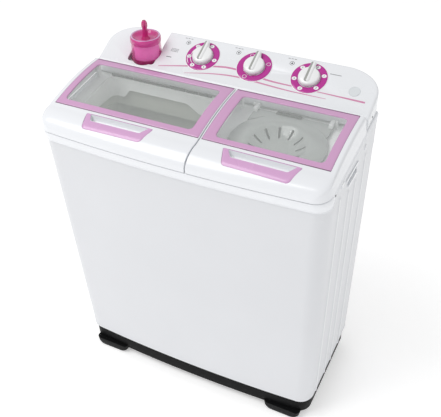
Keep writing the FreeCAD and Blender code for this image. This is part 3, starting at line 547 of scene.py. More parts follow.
def side_grips():
    """Finger slots: a raised bar over and under a shallow pocket, on both sides."""
    face = side_half(797.0)
    outwards = Matrix(((0, 0, 1, face - 1.5), (1, 0, 0, 0), (0, 1, 0, 0), (0, 0, 0, 1)))
    grip = Shape()
    for y0, y1, z0, z1 in ((-75.7, 15, 807.6, 814.8), (-56, 11.6, 780.6, 787.7)):
        grip.add(slab(rounded_box(y0, y1, z0, z1, 3.5, 5), 0.0, 4.3, 1.2).moved(outwards))
    rings = []
    for inset, depth in ((0.0, -18.0), (0.0, 0.8), (1.4, 0.8), (1.4, -17.0)):
        ring = rounded_box(-64.0 + inset, 10.0 - inset, 786.8 + inset, 807.2 - inset, 4.0, 4)
        rings.append([(face + depth, y, z) for y, z in ring])
    grip.loft(rings)
    make_piece("side_grip_bars", both_sides(grip), "cabinet", PANEL_WHITE,
               ("side_grips",))


def rim_plugs():
    """A square and a round cap high up on each side, and two dark discs painted as the shade inside
    open screw holes.
    """
    turn = Matrix.Rotation(PI / 2, 4, "Y")
    plug = lathe([(0.0, 0.0), (8.0, 0.0), (8.0, 1.8), (7.0, 2.6), (5.6, 2.2), (4.6, 2.8),
                  (0.0, 3.1)], 28, closed=False)
    square = slab(rounded_box(-7, 7, -7, 7, 1.5, 3), 0.0, 3.0, 0.8)
    caps = Shape()
    for piece, y, z in ((plug, 72.0, 816.0), (square, -104.0, 823.0)):
        caps.add(piece.moved(Matrix.Translation((side_half(z) - 0.6, y, z)) @ turn))
    holes = Shape()
    for half, y, z in ((RIM_HALF, -155.0, 829.0), (PANEL_HALF, 112.0, 878.0)):
        holes.add(rod(2.8, 0.0, 0.5, 20).moved(Matrix.Translation((half - 0.1, y, z)) @ turn))
    make_piece("rim_plug_caps", both_sides(caps), "cabinet", PANEL_WHITE,
               ("rim_plugs",))
    make_piece("rim_screw_hole_shades", both_sides(holes), "cabinet", HOLE_SHADE_DARK)


def base_pan():
    rings = []
    for z, inset in ((26.0, 12.0), (20.0, 9.0), (20.0, 4.0), (23.0, 1.5), (71.0, 0.5), (74.0, 1.5),
                     (74.0, 9.0), (30.0, 9.5)):
        half = BASE_HALF - 4.0 - inset
        ring = outline(-half, half, bowed(FRONT_BASE - 3.0 - inset, BASE_HALF),
                       SIDE_BACK - 6.0 - inset, (CORNER - inset, CORNER - inset, 6.0, 6.0),
                       (10, 40, 20, 24))
        rings.append(raised(ring, z))
    make_piece("base_tray", Shape().loft(rings), "cabinet", BASE_BLACK,
               ("base_pan",))


def feet():
    """Foot blocks with sloping ends, standing on the rubber pads."""
    shape = Shape()
    for near, far in ((-184.0, -114.0), (94.0, 150.0)):
        rings = []
        for z, grow in ((0.6, -18.0), (2.5, -12.0), (6.0, -7.0), (14.0, -2.0), (30.0, 0.0)):
            rings.append(raised(rounded_box(238.0 - grow, 350.0 + grow, near - grow * 0.2,
                                            far + grow * 0.2, 12.0), z))
        shape.loft(rings)
    make_piece("base_feet", both_sides(shape), "cabinet", BASE_BLACK,
               ("foot_blocks",))


# ---------------------------------------------------------------- top frame
WASH_OPENING = (-343.0, 25.0, -151.0, 74.0)
DECK_DROP = 6.5
EARS_X = (-373.5, 26.0, 60.0, 367.5)
COVER_POSTS_X = (92.0, 308.0)
EAR_WIDE = 6.0


def below_rim(drop):
    return lambda y: rim_height(y) - drop


def frame_ring(inset, height):
    """Ring of the rim, which flares forwards; height is a function of y."""
    half = RIM_HALF - inset
    depth = FRONT_TOP + 1.0 + RIM_FLARE * (height(-205.0) - CABINET_TOP) - inset
    ring = outline(-half, half, bowed(depth, half + inset), SIDE_BACK,
                   (CORNER - inset, CORNER - inset, 2.0, 2.0), (10, 40, 40, 24))
    return raised(ring, lambda x, y: height(y))


def top_frame():
    rings = [frame_ring(inset, above_seam(rise)) for inset, rise in (
        (3.0, 1.0), (0.2, 0.3), (-0.9, 1.2), (-0.9, 3.2), (0.0, 4.4))]
    rings.append(frame_ring(0.0, lambda y: mix(seam_height(y), rim_height(y), 0.5)))
    rings += [frame_ring(inset, below_rim(fall)) for inset, fall in (
        (0.4, 3.0), (1.6, 1.0), (4.5, 0.0), (7.0, 0.0), (8.5, 5.0), (12.0, 6.0), (12.0, 9.0),
        (5.0, 11.0))]
    rings.append(frame_ring(5.0, above_seam(1.0)))
    make_piece("top_rim", Shape().closed_loft(rings), "cabinet", TOP_WHITE,
               ("top_frame",))

    # deck between the rim and the two openings
    deck = Shape().loft([frame_ring(11.0, below_rim(DECK_DROP + 3.0)),
                         frame_ring(11.0, below_rim(DECK_DROP))])
    wash_hole = slab(rounded_box(*WASH_OPENING, 26.0, 8), 700, 900)
    spin_hole = rod(115.0, 700.0, 900.0, 96, *SPIN_TUB)
    make_piece("top_deck", deck, "cabinet", APRON, (), [wash_hole, spin_hole],
               round_by=1.0)
    wash_apron()
    spin_collar()
    hinge_ears()


def hinge_ears():
    """Ears for the lids' pins and posts for the inner cover's pins, each with a round eye."""
    shape = Shape()
    turn = Matrix.Rotation(PI / 2, 4, "Y")
    for places, y, z, radius, foot in ((EARS_X, 64.0, 892.0, 5.4, 848.0),
                                       (COVER_POSTS_X, 72.0, 867.0, 4.8, 851.0)):
        for x in places:
            eye = lathe([(3.3, 0.0), (radius, 0.0), (radius, EAR_WIDE), (3.3, EAR_WIDE)], 32)
            shape.add(eye.moved(Matrix.Translation(Vector((x, y, z))) @ turn))
            shape.add(brick(x, x + EAR_WIDE, y - 4.4, y + 4.4, foot, z - 3.6, 0.8))
    make_piece("hinge_ears", shape, "cabinet", APRON)


def wash_apron():
    """White lining that hangs into the wash tub, with a stepped lower edge."""
    x0, x1, y0, y1 = WASH_OPENING

    def lower_edge(x, y, nx, ny):
        if ny > 0.7:
            return 800.0 + 25.0 * smooth_step(-302, -276, x) * (1 - smooth_step(-106, -59, x))
        if ny < -0.7:
            return 790.0
        return 800.0

    def lining(insets, low_of_wall):
        rings = []
        for inset, top in insets:
            ring = outline(x0 - 0.6 + inset, x1 + 0.6 - inset, level(y0 - 0.6 + inset),
                           y1 + 0.6 - inset, 26.0 - inset, (8, 40, 24, 60))
            rings.append([(x, y, rim_height(y) - DECK_DROP if top else low_of_wall(x, y, nx, ny))
                          for x, y, nx, ny in ring])
        return Shape().closed_loft(rings)

    apron = lining(((0.0, True), (2.8, True), (9.0, False), (6.2, False)), lower_edge)
    make_piece("wash_apron", apron, "cabinet", APRON)
    neck = lining(((-2.4, True), (-0.2, True), (-0.2, False), (-2.4, False)),
                  lambda x, y, nx, ny: 770.0)
    make_piece("wash_tub_neck", neck, "cabinet", TUB_GREY)
    # Painted shade: dark bricks stand for the shadowed overflow slot in the apron's back wall.
    slot = Shape()
    for a, b, thick in ((-340.0, -272.0, 2.2), (-270.0, -158.0, 2.2), (-156.0, -110.0, 5.0),
                        (-108.0, -72.0, 2.2), (-70.0, -30.0, 2.2)):
        slot.add(brick(a, b, 75.4, 79.2, 852.6, 855.4 + thick, 0.5))
    make_piece("wash_overflow_slot_shade", slot, "cabinet", HOLE_SHADE_DARK)


def spin_collar():
    rings = []
    for radius, top in ((115.4, True), (112.4, True), (112.4, False), (115.4, False)):
        height = (lambda x, y: rim_height(y) - 6.4) if top else 772.0
        rings.append(raised(circle(*SPIN_TUB, radius, 96), height))
    make_piece("spin_collar", Shape().closed_loft(rings), "cabinet", APRON)


# ---------------------------------------------------------------- lids
def lid_edge(x):
    """Where the lids' front edge lies at x."""
    return bowed(LID_FRONT, LID_HALF)(x)


def lid_top(x, y):
    """Height of the lids' upper surface: rounded nose, flat apron, an arch over the window."""
    part = (y - WINDOW_FRONT) / (WINDOW_BACK - WINDOW_FRONT)
    if part >= 0:
        base = WINDOW_FRONT_Z + (WINDOW_BACK_Z - WINDOW_FRONT_Z) * part
        return base + WINDOW_ARCH * 4 * part * (1 - part)
    behind = max(0.0, y - lid_edge(x))
    if behind < LID_NOSE:
        return LID_CHIN + (LID_BROW - LID_CHIN) * math.sqrt(1 - (1 - behind / LID_NOSE) ** 2)
    flat = (behind - LID_NOSE) / (WINDOW_FRONT - lid_edge(x) - LID_NOSE)
    return mix(LID_BROW, WINDOW_FRONT_Z, flat)


def under_lid(depth):
    return lambda x, y: lid_top(x, y) - depth


def lid_shell(x0, x1, window, corner_left, corner_right):
    """A moulded lid: side walls, rounded nose, and the seat for its window border."""
    wx0, wx1 = window
    back = 66.0
    counts = (12, 48, 40, 40)
    plan = outline(x0, x1, lid_edge, back, (corner_left, corner_right, 1.0, 1.0), counts)
    reach = back + LID_FRONT + FRONT_BOW
    outer_left = corner_left > 10
    side_l, side_r = (7.0, 1.2) if outer_left else (1.2, 7.0)
    lean_l, lean_r = (4.0, 0.0) if outer_left else (0.0, 4.0)

    def drawn_in(left, front, right, rear, z_of):
        """The plan ring pulled in at its four edges."""
        ring = []
        for x, y, nx, ny in plan:
            ahead = (back - y) / reach
            px = mix(x0 + left, x1 - right, (x - x0) / (x1 - x0))
            py = y + front * ahead - rear * (1 - ahead)
            ring.append((px, py, z_of(px, py, nx)))
        return ring

    def edge_drop(nx, part):
        """How far the rounded side edges lie below the top surface."""
        return (side_l if nx < 0 else side_r) * 1.6 * nx * nx * (1 - part)

    def wall(part):
        return lambda x, y, nx: mix(rim_height(y) + 1.8, lid_top(x, y) - edge_drop(nx, 0), part)

    def nose(angle, under=0.0):
        return lambda x, y, nx: lid_top(x, y) - edge_drop(nx, math.sin(angle)) - under

    rings = [
        drawn_in(3.0, 3.0, 3.0, 2.0, lambda x, y, nx: rim_height(y) + 2.0),
        drawn_in(1.2, 1.2, 1.2, 0.6, lambda x, y, nx: rim_height(y) + 0.5),
        drawn_in(0.0, 0.0, 0.0, 0.0, lambda x, y, nx: rim_height(y) + 1.8),
    ]
    for step in range(1, 5):
        part = step / 4
        rings.append(drawn_in(lean_l * part, 0.0, lean_r * part, 0.0, wall(part)))
    for step in range(1, 13):
        angle = PI / 2 * step / 12
        inward = 1 - math.cos(angle)
        rings.append(drawn_in(lean_l + side_l * inward, LID_NOSE * inward,
                              lean_r + side_r * inward, 1.5 * inward, nose(angle)))
    # across the top to the window's seat
    seat = outline(wx0 - 0.7, wx1 + 0.7, level(WINDOW_FRONT - 1.5), WINDOW_BACK + 1.2,
                   1.5, counts)
    brow = rings[-1]
    for part in (0.33, 0.66):
        ring = []
        for (x, y, z), (sx, sy, nx, ny) in zip(brow, seat):
            px, py = mix(x, sx, part), mix(y, sy, part)
            ring.append((px, py, lid_top(px, py)))
        rings.append(ring)
    rings += [raised(seat, lid_top), raised(seat, under_lid(3.6))]
    shelf = outline(wx0 + 9, wx1 - 9, level(WINDOW_FRONT + 9), WINDOW_BACK - 9, 6.0, counts)
    rings += [raised(shelf, under_lid(3.6)), raised(shelf, under_lid(5.6))]
    for angle, front in ((PI / 2, 62.0), (PI / 4, 22.0), (PI / 9, 9.0)):
        rings.append(drawn_in(lean_l + 3.5, front, lean_r + 3.5, 3.0, nose(angle, 6.2)))
    return Shape().closed_loft(rings)


def on_lid(x, s, height):
    """A point on a lid's front apron: s is the distance back from the window's front edge."""
    y = WINDOW_FRONT + s
    return (x, y, lid_top(x, y) + height)


def grip_parts(name, outer, recess, body):
    """Pink finger grip let into the lid's apron, round a pale pocket; returns its cut-out."""
    out_ring = rounded_polygon(outer, (11.0, 11.0, 3.0, 3.0), 8)
    in_ring = rounded_polygon(recess, (7.0, 7.0, 2.0, 2.0), 8)

    def shrunk(ring, amount):
        cx = sum(p[0] for p in ring) / len(ring)
        cy = sum(p[1] for p in ring) / len(ring)
        wide = max(abs(p[0] - cx) for p in ring)
        deep = max(abs(p[1] - cy) for p in ring)
        return [(cx + (x - cx) * (1 - amount / wide), cy + (y - cy) * (1 - amount / deep))
                for x, y in ring]

    def at(ring, height):
        return [on_lid(x, s, height) for x, s in ring]

    rings = [at(out_ring, -9.0), at(out_ring, -0.6), at(shrunk(out_ring, 0.3), 0.1),
             at(shrunk(out_ring, 0.8), 0.7)]
    for part in (0.3, 0.6, 0.9, 1.0):
        middle = []
        for a, b in zip(shrunk(out_ring, 0.8), in_ring):
            middle.append((mix(a[0], b[0], part), mix(a[1], b[1], part)))
        rings.append(at(middle, 0.8 + 0.5 * part * (1.0 - part) - 0.7 * part ** 4))
    rings.append(at(shrunk(in_ring, 0.5), -0.8))
    rings.append(at(shrunk(in_ring, 0.7), -9.0))
    make_piece(name + "_grip_trim", Shape().closed_loft(rings), body, GRIP_PINK,
               (name + "_grip",), sharp=50)
    rings = [at(in_ring, -16.0), at(shrunk(in_ring, -0.8), -1.6)]
    for tuck, depth in ((1.0, -0.3), (1.4, -6.0), (2.6, -11.0), (4.2, -13.5), (6.5, -14.5)):
        rings.append(at(shrunk(in_ring, tuck), depth))
    make_piece(name + "_grip_pocket", Shape().loft(rings), body, PANEL_WHITE)
    return slab([(x, WINDOW_FRONT + s) for x, s in shrunk(out_ring, -0.25)], 800, 920)


def window_parts(name, window, glass, body):
    """Tinted border with a clear pane, both arched like the lid."""
    wx0, wx1 = window
    gx0, gx1, gs0, gs1 = glass
    counts = (8, 40, 30, 40)
    outer = outline(wx0, wx1, level(WINDOW_FRONT), WINDOW_BACK, 2.2, counts)
    inner = outline(gx0, gx1, level(WINDOW_FRONT + gs0), WINDOW_FRONT + gs1, 12.0, counts)

    def blend(part, height, grow=0.0):
        ring = []
        for (ax, ay, nx, ny), (bx, by, mx, my) in zip(outer, inner):
            x, y = mix(ax, bx, part) - nx * grow, mix(ay, by, part) - ny * grow
            ring.append((x, y, lid_top(x, y) + height))
        return ring

    rings = [blend(0.0, -3.3), blend(0.0, -0.4), blend(0.0, 0.3, 0.7)]
    rings += [blend(part, 0.5) for part in (0.25, 0.5, 0.75, 0.94)]
    rings += [blend(1.0, 0.1), blend(1.03, -1.0), blend(1.03, -3.3)]
    make_piece(name + "_window_border", Shape().closed_loft(rings), body, PINK,
               (name + "_window_frame",), sharp=50)
    edges = Shape()
    for y, before, after in ((WINDOW_FRONT, 1.5, 0.3), (WINDOW_BACK, 0.3, 1.2)):
        z = lid_top(wx0, y)
        edges.add(brick(wx0, wx1, y - before, y + after, z - 2.4, z + 0.7, 0.3))
    make_piece(name + "_window_edges", edges, body, EDGE_MAUVE)
    pane = Shape()
    plan = outline(gx0 - 6, gx1 + 6, level(WINDOW_FRONT + gs0 - 6), WINDOW_FRONT + gs1 + 6, 14.0,
                   counts)
    faces = [raised(plan, under_lid(3.2)), raised(plan, under_lid(1.6))]
    pane.bridge(*[pane.ring(face) for face in faces])
    for face in faces:
        add_arched_sheet(pane, face)
    make_piece(name + "_window_pane", pane, body, WINDOW_GLASS_SHEEN, (name + "_window",))


def add_arched_sheet(shape, ring):
    """Fill a ring with strips along Y so that the sheet keeps the lid's arch."""
    centre_x = sum(p[0] for p in ring) / len(ring)
    outer = shape.ring(ring)
    inner = shape.ring([(mix(x, centre_x, 0.5), y, z) for x, y, z in ring])
    core = shape.ring([(centre_x, y, z) for x, y, z in ring])
    shape.bridge(outer, inner)
    shape.bridge(inner, core)


def build_lid(name, x0, x1, window, glass, corners, grip, recess):
    body = name + "_lid"
    hinge_room = brick(x0 + 12, x1 - 12, 54.0, 90.0, 780.0, 897.0)
    cutter = grip_parts(name, grip, recess, body)
    shape = lid_shell(x0, x1, window, *corners)
    make_piece(body + "_shell", shape, body, TOP_WHITE, (body,),
               [cutter, hinge_room], sharp=40)
    window_parts(name, window, glass, body)


# ---------------------------------------------------------------- inner spin cover
def spin_cover():
    cx, cy = SPIN_TUB
    slope = math.atan(RIM_SLOPE)
    base = rim_height(cy)
    profile = [(0.0, -19.0), (30.0, -18.6), (42.0, -17.0), (58.0, -9.0), (70.0, 0.5), (76.0, 4.6),
               (84.0, 5.4), (104.0, 3.6), (117.0, 1.8), (121.0, 0.6), (121.5, -1.2),
               (119.0, -1.4), (104.0, 1.4), (84.0, 3.2), (77.0, 2.2), (71.0, -1.8), (59.0, -11.4),
               (43.0, -19.4), (0.0, -21.2)]
    # flat shoulder that carries the hinge knuckles
    shoulder = rounded_polygon([(-104, 62), (-72, 88), (72, 88), (104, 62), (104, 114),
                                (-104, 114)], [2, 2, 2, 2, 5, 5], 6)
    plate = slab(shoulder, 0.2, 3.0, 0.8)
    placing = Matrix.Translation((cx, cy, base)) @ Matrix.Rotation(slope, 4, "X")
    cutters = []
    for k in range(12):
        angle = math.radians(30 * k + 15)
        ring = rounded_polygon([(44, -2.4), (69, -3.4), (69, 3.4), (44, 2.4)], 2.2, 3)
        slot = slab(ring, -30, 20).moved(Matrix.Rotation(angle, 4, "Z"))
        cutters.append(slot.moved(placing))
    make_piece("spin_cover_dish", lathe(profile, 96).moved(placing), "spin_cover", COVER_GREY,
               ("spin_cover",), cutters, sharp=45)
    make_piece("spin_cover_shoulder", plate.moved(placing), "spin_cover", COVER_GREY)
    knuckles = Shape()
    for x in (104.0, 302.0):
        knuckles.add(brick(x - 5, x + 5, 50, 68.5, 859.6, 870.5, 1.2))
        knuckles.add(brick(x - 5, x + 5, 66, 76, 861.6, 870.5, 1.2))
    make_piece("spin_cover_knuckles", knuckles, "spin_cover", APRON)
    latch = slab(rounded_box(-46, 22, 107, 118, 4), 1.6, 5.6, 1.0)
    make_piece("spin_cover_latch", latch.moved(placing), "spin_cover", LATCH_GREY,
               round_by=0.4)


# ---------------------------------------------------------------- control panel
def panel_height(y):
    return PANEL_LIP[1] + (y - PANEL_LIP[0]) * math.tan(PANEL_TILT)


def panel_place(x, s):
    """Frame of a spot on the panel: x across, s up the slope from the dials' centre line."""
    y = RING_Y + s * math.cos(PANEL_TILT)
    return Matrix.Translation((x, y, panel_height(y))) @ Matrix.Rotation(PANEL_TILT, 4, "X")


def control_panel():
    counts = (16, 40, 10, 40)

    def ring_at(inset, height):
        ring = outline(-PANEL_HALF + inset, PANEL_HALF - inset, level(PANEL_FRONT + inset),
                       PANEL_BACK - inset, (3.0, 3.0, (96.0 - inset, 62.0 - inset),
                                            (96.0 - inset, 62.0 - inset)), counts)
        return [(x, y, height(x, y, nx, ny)) for x, y, nx, ny in ring]

    def foot(x, y, nx, ny):
        return mix(rim_height(y) + 0.5, 792.0, smooth_step(156.0, 162.0, y))

    def curl(part):
        """Rounding of the upper edge, larger at the back and the ends than at the lip."""
        def height(x, y, nx, ny):
            size = 7.0 if ny > -0.5 else 5.0
            return panel_height(y) - size * (1 - part)
        return height

    # from the hollow underside down to the foot, then up and over the edge
    rings = [ring_at(2.5, lambda x, y, nx, ny: panel_height(y) - 9.0), ring_at(2.5, foot),
             ring_at(0.0, foot)]
    for part in (0.35, 0.7, 1.0):
        rings.append(ring_at(0.0, lambda x, y, nx, ny, part=part: mix(
            foot(x, y, nx, ny), curl(0.0)(x, y, nx, ny), part)))
    for step in range(1, 9):
        angle = PI / 2 * step / 8
        rings.append(ring_at(8.0 * (1 - math.cos(angle)), curl(math.sin(angle))))
    side = rounded_polygon([(-298, 96), (-216, 96), (-212, 260), (-301, 260)], [9, 9, 2, 2])
    cutters = [slab(side, CUP_SHELF, 1000.0), cup_seat()]
    cutters += [rod(7.0, -20.0, 20.0, 24).moved(panel_place(x, 0)) for x in DIALS.values()]
    make_piece("panel_housing", Shape().loft(rings), "cabinet", PANEL_WHITE,
               ("control_panel",), cutters, sharp=40, round_by=1.2)
    cup_tray()
    panel_graphics()


def cup_seat():
    """Cut-out for the round seat of the filter cup."""
    return rod(CUP_SEAT, CUP[2] - 0.4, 1000.0, 72, CUP[0], CUP[1])


def cup_tray():
    """Floor and side walls of the open shelf under the filter cup."""
    left, right, front, back = -304.0, -209.0, 92.0, 202.0
    floor = slab(rounded_polygon([(left, front), (right, front), (right, back), (left, back)],
                                 [4, 4, 1, 1], 4), TRAY_UNDER, CUP_SHELF)
    make_piece("cup_tray_floor", floor, "cabinet", PANEL_WHITE, (), [cup_seat()],
               sharp=40)
    walls = Shape()
    for x0, x1 in ((left, left + 2.8), (right - 2.8, right)):
        rings = []
        for step in range(11):
            y = mix(front, back, step / 10)
            top = panel_height(y) - 6.0
            rings.append([(x0, y, TRAY_UNDER), (x1, y, TRAY_UNDER), (x1, y, top), (x0, y, top)])
        walls.loft(rings)
    make_piece("cup_tray_walls", walls, "cabinet", PANEL_WHITE, sharp=40)


def ribbon(points, width, low=0.02, high=0.25, steps=48):
    """A printed line on the panel: a smooth curve through (x, s) points."""
    rings = []
    for k in range(steps + 1):
        at = k / steps
        x, s = curve_point(points, at)
        x2, s2 = curve_point(points, min(at + 0.01, 1.0))
        x1, s1 = curve_point(points, max(at - 0.01, 0.0))
        along = Vector((x2 - x1, s2 - s1)).normalized()
        wide = width(at) / 2
        left = (x - along.y * wide, s + along.x * wide)
        right = (x + along.y * wide, s - along.x * wide)
        rings.append([(*left, low), (*right, low), (*right, high), (*left, high)])
    return Shape().loft(rings).moved(panel_place(0, 0))


def curve_point(points, at):
    """Catmull-Rom curve through points, at runs from 0 to 1."""
    spans = len(points) - 1
    place = min(at * spans, spans - 1e-9)
    k = int(place)
    t = place - k
    p = [Vector(points[max(0, min(spans, k + step))]) for step in (-1, 0, 1, 2)]
    spot = 0.5 * ((2 * p[1]) + (p[2] - p[0]) * t + (2 * p[0] - 5 * p[1] + 4 * p[2] - p[3]) * t * t
                  + (3 * p[1] - p[0] - 3 * p[2] + p[3]) * t ** 3)
    return spot.x, spot.y


def bar_on_panel(x, s, length, tall):
    ring = rounded_box(-length / 2, length / 2, -tall / 2, tall / 2, tall * 0.3, 3)
    return slab(ring, 0.02, 0.3).moved(panel_place(x, s))


def panel_graphics():
    """Printed lines, captions without words, and the round badge."""
    upper = [(-200, -57), (-125, -40), (-51, -24), (8, -18.5), (104, -31), (174, -33.5),
             (269, -35), (362, -37)]
    lower = [(-120, -62), (-42, -46.5), (26, -40.5), (101, -45), (175, -49), (268, -49.5)]
    swoosh = ribbon(upper, lambda at: 1.6 + 3.8 * math.sin(PI * min(1, at * 1.25)) ** 0.8
                    if at < 0.8 else 1.6 + 2.4 * smooth_step(0.8, 1.0, at) + 0.9)
    swoosh.add(ribbon(lower, lambda at: 0.9 + 3.2 * math.sin(PI * at) ** 0.9))
    make_piece("panel_swoosh", swoosh, "cabinet", MARK_PINK)
    grey = Shape()
    for row in range(3):
        for k in range(5):
            grey.add(bar_on_panel(-186 + k * 4.6, 6 - row * 4.2, 3.4, 2.0))
    for x in DIALS.values():
        for k in range(3):
            grey.add(bar_on_panel(x - 70 + k * 8.5, 47.5, 6.0, 1.6))
    make_piece("panel_captions", grey, "cabinet", MARK_GREY)
    dark = bar_on_panel(-184, -22.5, 16.0, 1.6)
    for x in DIALS.values():
        icon = lathe([(6.2, 0.02), (6.2, 0.3), (5.4, 0.3), (5.4, 0.02)], 32)
        drop = rounded_polygon([(-2.4, -2.6), (2.6, -1.8), (1.4, 3.2), (-1.2, 1.2)], 0.8, 3)
        icon.add(slab(drop, 0.02, 0.32))
        dark.add(icon.moved(panel_place(x - 58, 34)))
    make_piece("panel_icons", dark, "cabinet", MARK_DARK)
    strip = bar_on_panel(268, 25, 30.0, 1.8)
    make_piece("panel_plain_strip", strip, "cabinet", MARK_GREY)
    badge = lathe([(0.0, 0.0), (14.5, 0.0), (14.5, 0.5), (13.8, 1.2), (12.6, 1.2), (12.2, 0.7),
                   (0.0, 0.9)], 48, closed=False)
    make_piece("panel_badge_disc", badge.moved(panel_place(328, -12)), "cabinet", BADGE,
               ("panel_badge",))


# ---------------------------------------------------------------- dials
WHITE_MARKS = {"wash": (20, 100, 152, 206, 257, 317), "spin": (18, 69, 133, 198, 254, 315)}


def polar(radius, clockwise):
    """A point at an angle clockwise from twelve o'clock."""
    angle = PI / 2 - math.radians(clockwise)
    return radius * math.cos(angle), radius * math.sin(angle)


def dial_ring(name, x):
    place = panel_place(x, 0)
    profile = [(RING_INNER + 0.2, 0.02), (RING_OUTER, 0.02), (RING_OUTER, 0.9),
               (RING_OUTER - 0.6, 1.5), (RING_OUTER - 4, 1.7), (RING_INNER + 3, 1.3),
               (RING_INNER + 0.2, 0.7)]
    ring = lathe(profile, 96)
    make_piece(name + "_dial_plate", ring.moved(place), "cabinet", MAGENTA,
               (name + "_dial_ring",), sharp=50)
    rim = lathe([(RING_OUTER + 0.1, 0.02), (RING_OUTER + 1.6, 0.02), (RING_OUTER + 1.4, 0.7),
                 (RING_OUTER + 0.1, 1.0)], 96)
    make_piece(name + "_dial_rim", rim.moved(place), "cabinet", KNOB_WHITE)
    marks = Shape()
    for angle in WHITE_MARKS.get(name, ()):
        marks.add(slab(oval(*polar(MARK_RADIUS, angle), 6.4, 5.4), 0.8, 2.1, 0.25))
    if name == "wash":
        for start, stop, radius in ((212, 252, 33.6), (222, 258, 42.4), (262, 312, 33.6)):
            marks.add(ring_band(start, stop, radius, 1.5))
    if name == "selector":
        for angle in (-29, 66, 201):
            spot = polar(MARK_RADIUS, angle)
            marks.add(Shape().closed_loft([
                raised(oval(*spot, r * 1.15, r), z)
                for r, z in ((5.0, 1.2), (5.0, 2.0), (4.1, 2.0), (4.1, 1.2))]))
    make_piece(name + "_dial_marks", marks.moved(place), "cabinet", KNOB_WHITE)
    dial_numbers(name, place)


def ring_band(start, stop, radius, wide):
    """A white crescent printed on the ring."""
    rings = []
    steps = 20
    for k in range(steps + 1):
        part = k / steps
        angle = mix(start, stop, part)
        half = wide * math.sin(PI * part) ** 0.6 / 2 + 0.1
        a = polar(radius + half, angle)
        b = polar(radius - half, angle)
        rings.append([(*a, 1.2), (*b, 1.2), (*b, 2.0), (*a, 2.0)])
    return Shape().loft(rings)


def dial_numbers(name, place):
    """Plain figures on the dials' white ovals."""
    words = {"wash": ("0", "3", "6", "9", "12", "15"), "spin": ("0", "1", "2", "3", "4", "5")}
    for figure, angle in zip(words.get(name, ()), WHITE_MARKS.get(name, ())):
        curve = bpy.data.curves.new("figure", "FONT")
        curve.body = figure
        curve.size = 7.0 * MM
        curve.extrude = 0.1 * MM
        curve.align_x = "CENTER"
        curve.align_y = "CENTER"
        text = new_object("figure", curve)
        mesh = bpy.data.meshes.new_from_object(text)
        bpy.data.objects.remove(text)
        shift = place @ Matrix.Translation((*polar(MARK_RADIUS, angle), 2.15))
        shift.translation *= MM
        mesh.transform(shift)
        piece = new_object("%s_figure_%s" % (name, figure), mesh)
        place_piece(piece, "cabinet", MARK_DARK)


def knob(name, x):
    """White dial with a wedge-shaped finger ridge that points to twelve o'clock."""
    place = panel_place(x, 0)
    body = name + "_knob"
    base = lathe([(0.0, 2.0), (27.0, 2.0), (27.6, 3.0), (27.2, 9.0), (25.8, 12.0), (23.0, 13.4),
                  (0.0, 14.0)], 72, closed=False)
    # pointed skirt that runs out over the ring
    skirt = rounded_polygon([(-12.0, 20.0), (12.0, 20.0), (3.2, 44.0), (-3.2, 44.0)],
                            [1.0, 1.0, 1.6, 1.6], 4)
    base.add(slab(skirt, 4.0, 11.5, 1.4))
    base.add(rod(3.9, -23.5, 4.0, 24))
    make_piece(body + "_dial", base.moved(place), body, KNOB_WHITE, (body,),
               sharp=40)
    levels = ((10.5, 1.08, -21.0, 41.5), (13.2, 0.98, -20.2, 41.0), (15.4, 0.8, -18.8, 40.0),
              (16.6, 0.55, -17.0, 38.4), (17.0, 0.3, -14.5, 36.0))
    # Painted shade: the ridge's left half is grey and its right half white, as if lit from the
    # right.
    for side, material, part in ((-1, KNOB_SHADE_GREY, "shade"), (1, KNOB_WHITE, "light")):
        rings = []
        for z, wide, tail, tip in levels:
            ring = [(0.0, tail), (side * 4.5 * wide, tail), (side * 8.0 * wide, tail + 4.0),
                    (side * 7.0 * wide, tip - 3.0), (side * 4.5 * wide, tip), (0.0, tip)]
            rings.append(raised(ring, z))
        ridge = Shape().loft(rings)
        make_piece(body + "_ridge_" + part, ridge.moved(place), body, material,
                   sharp=50)


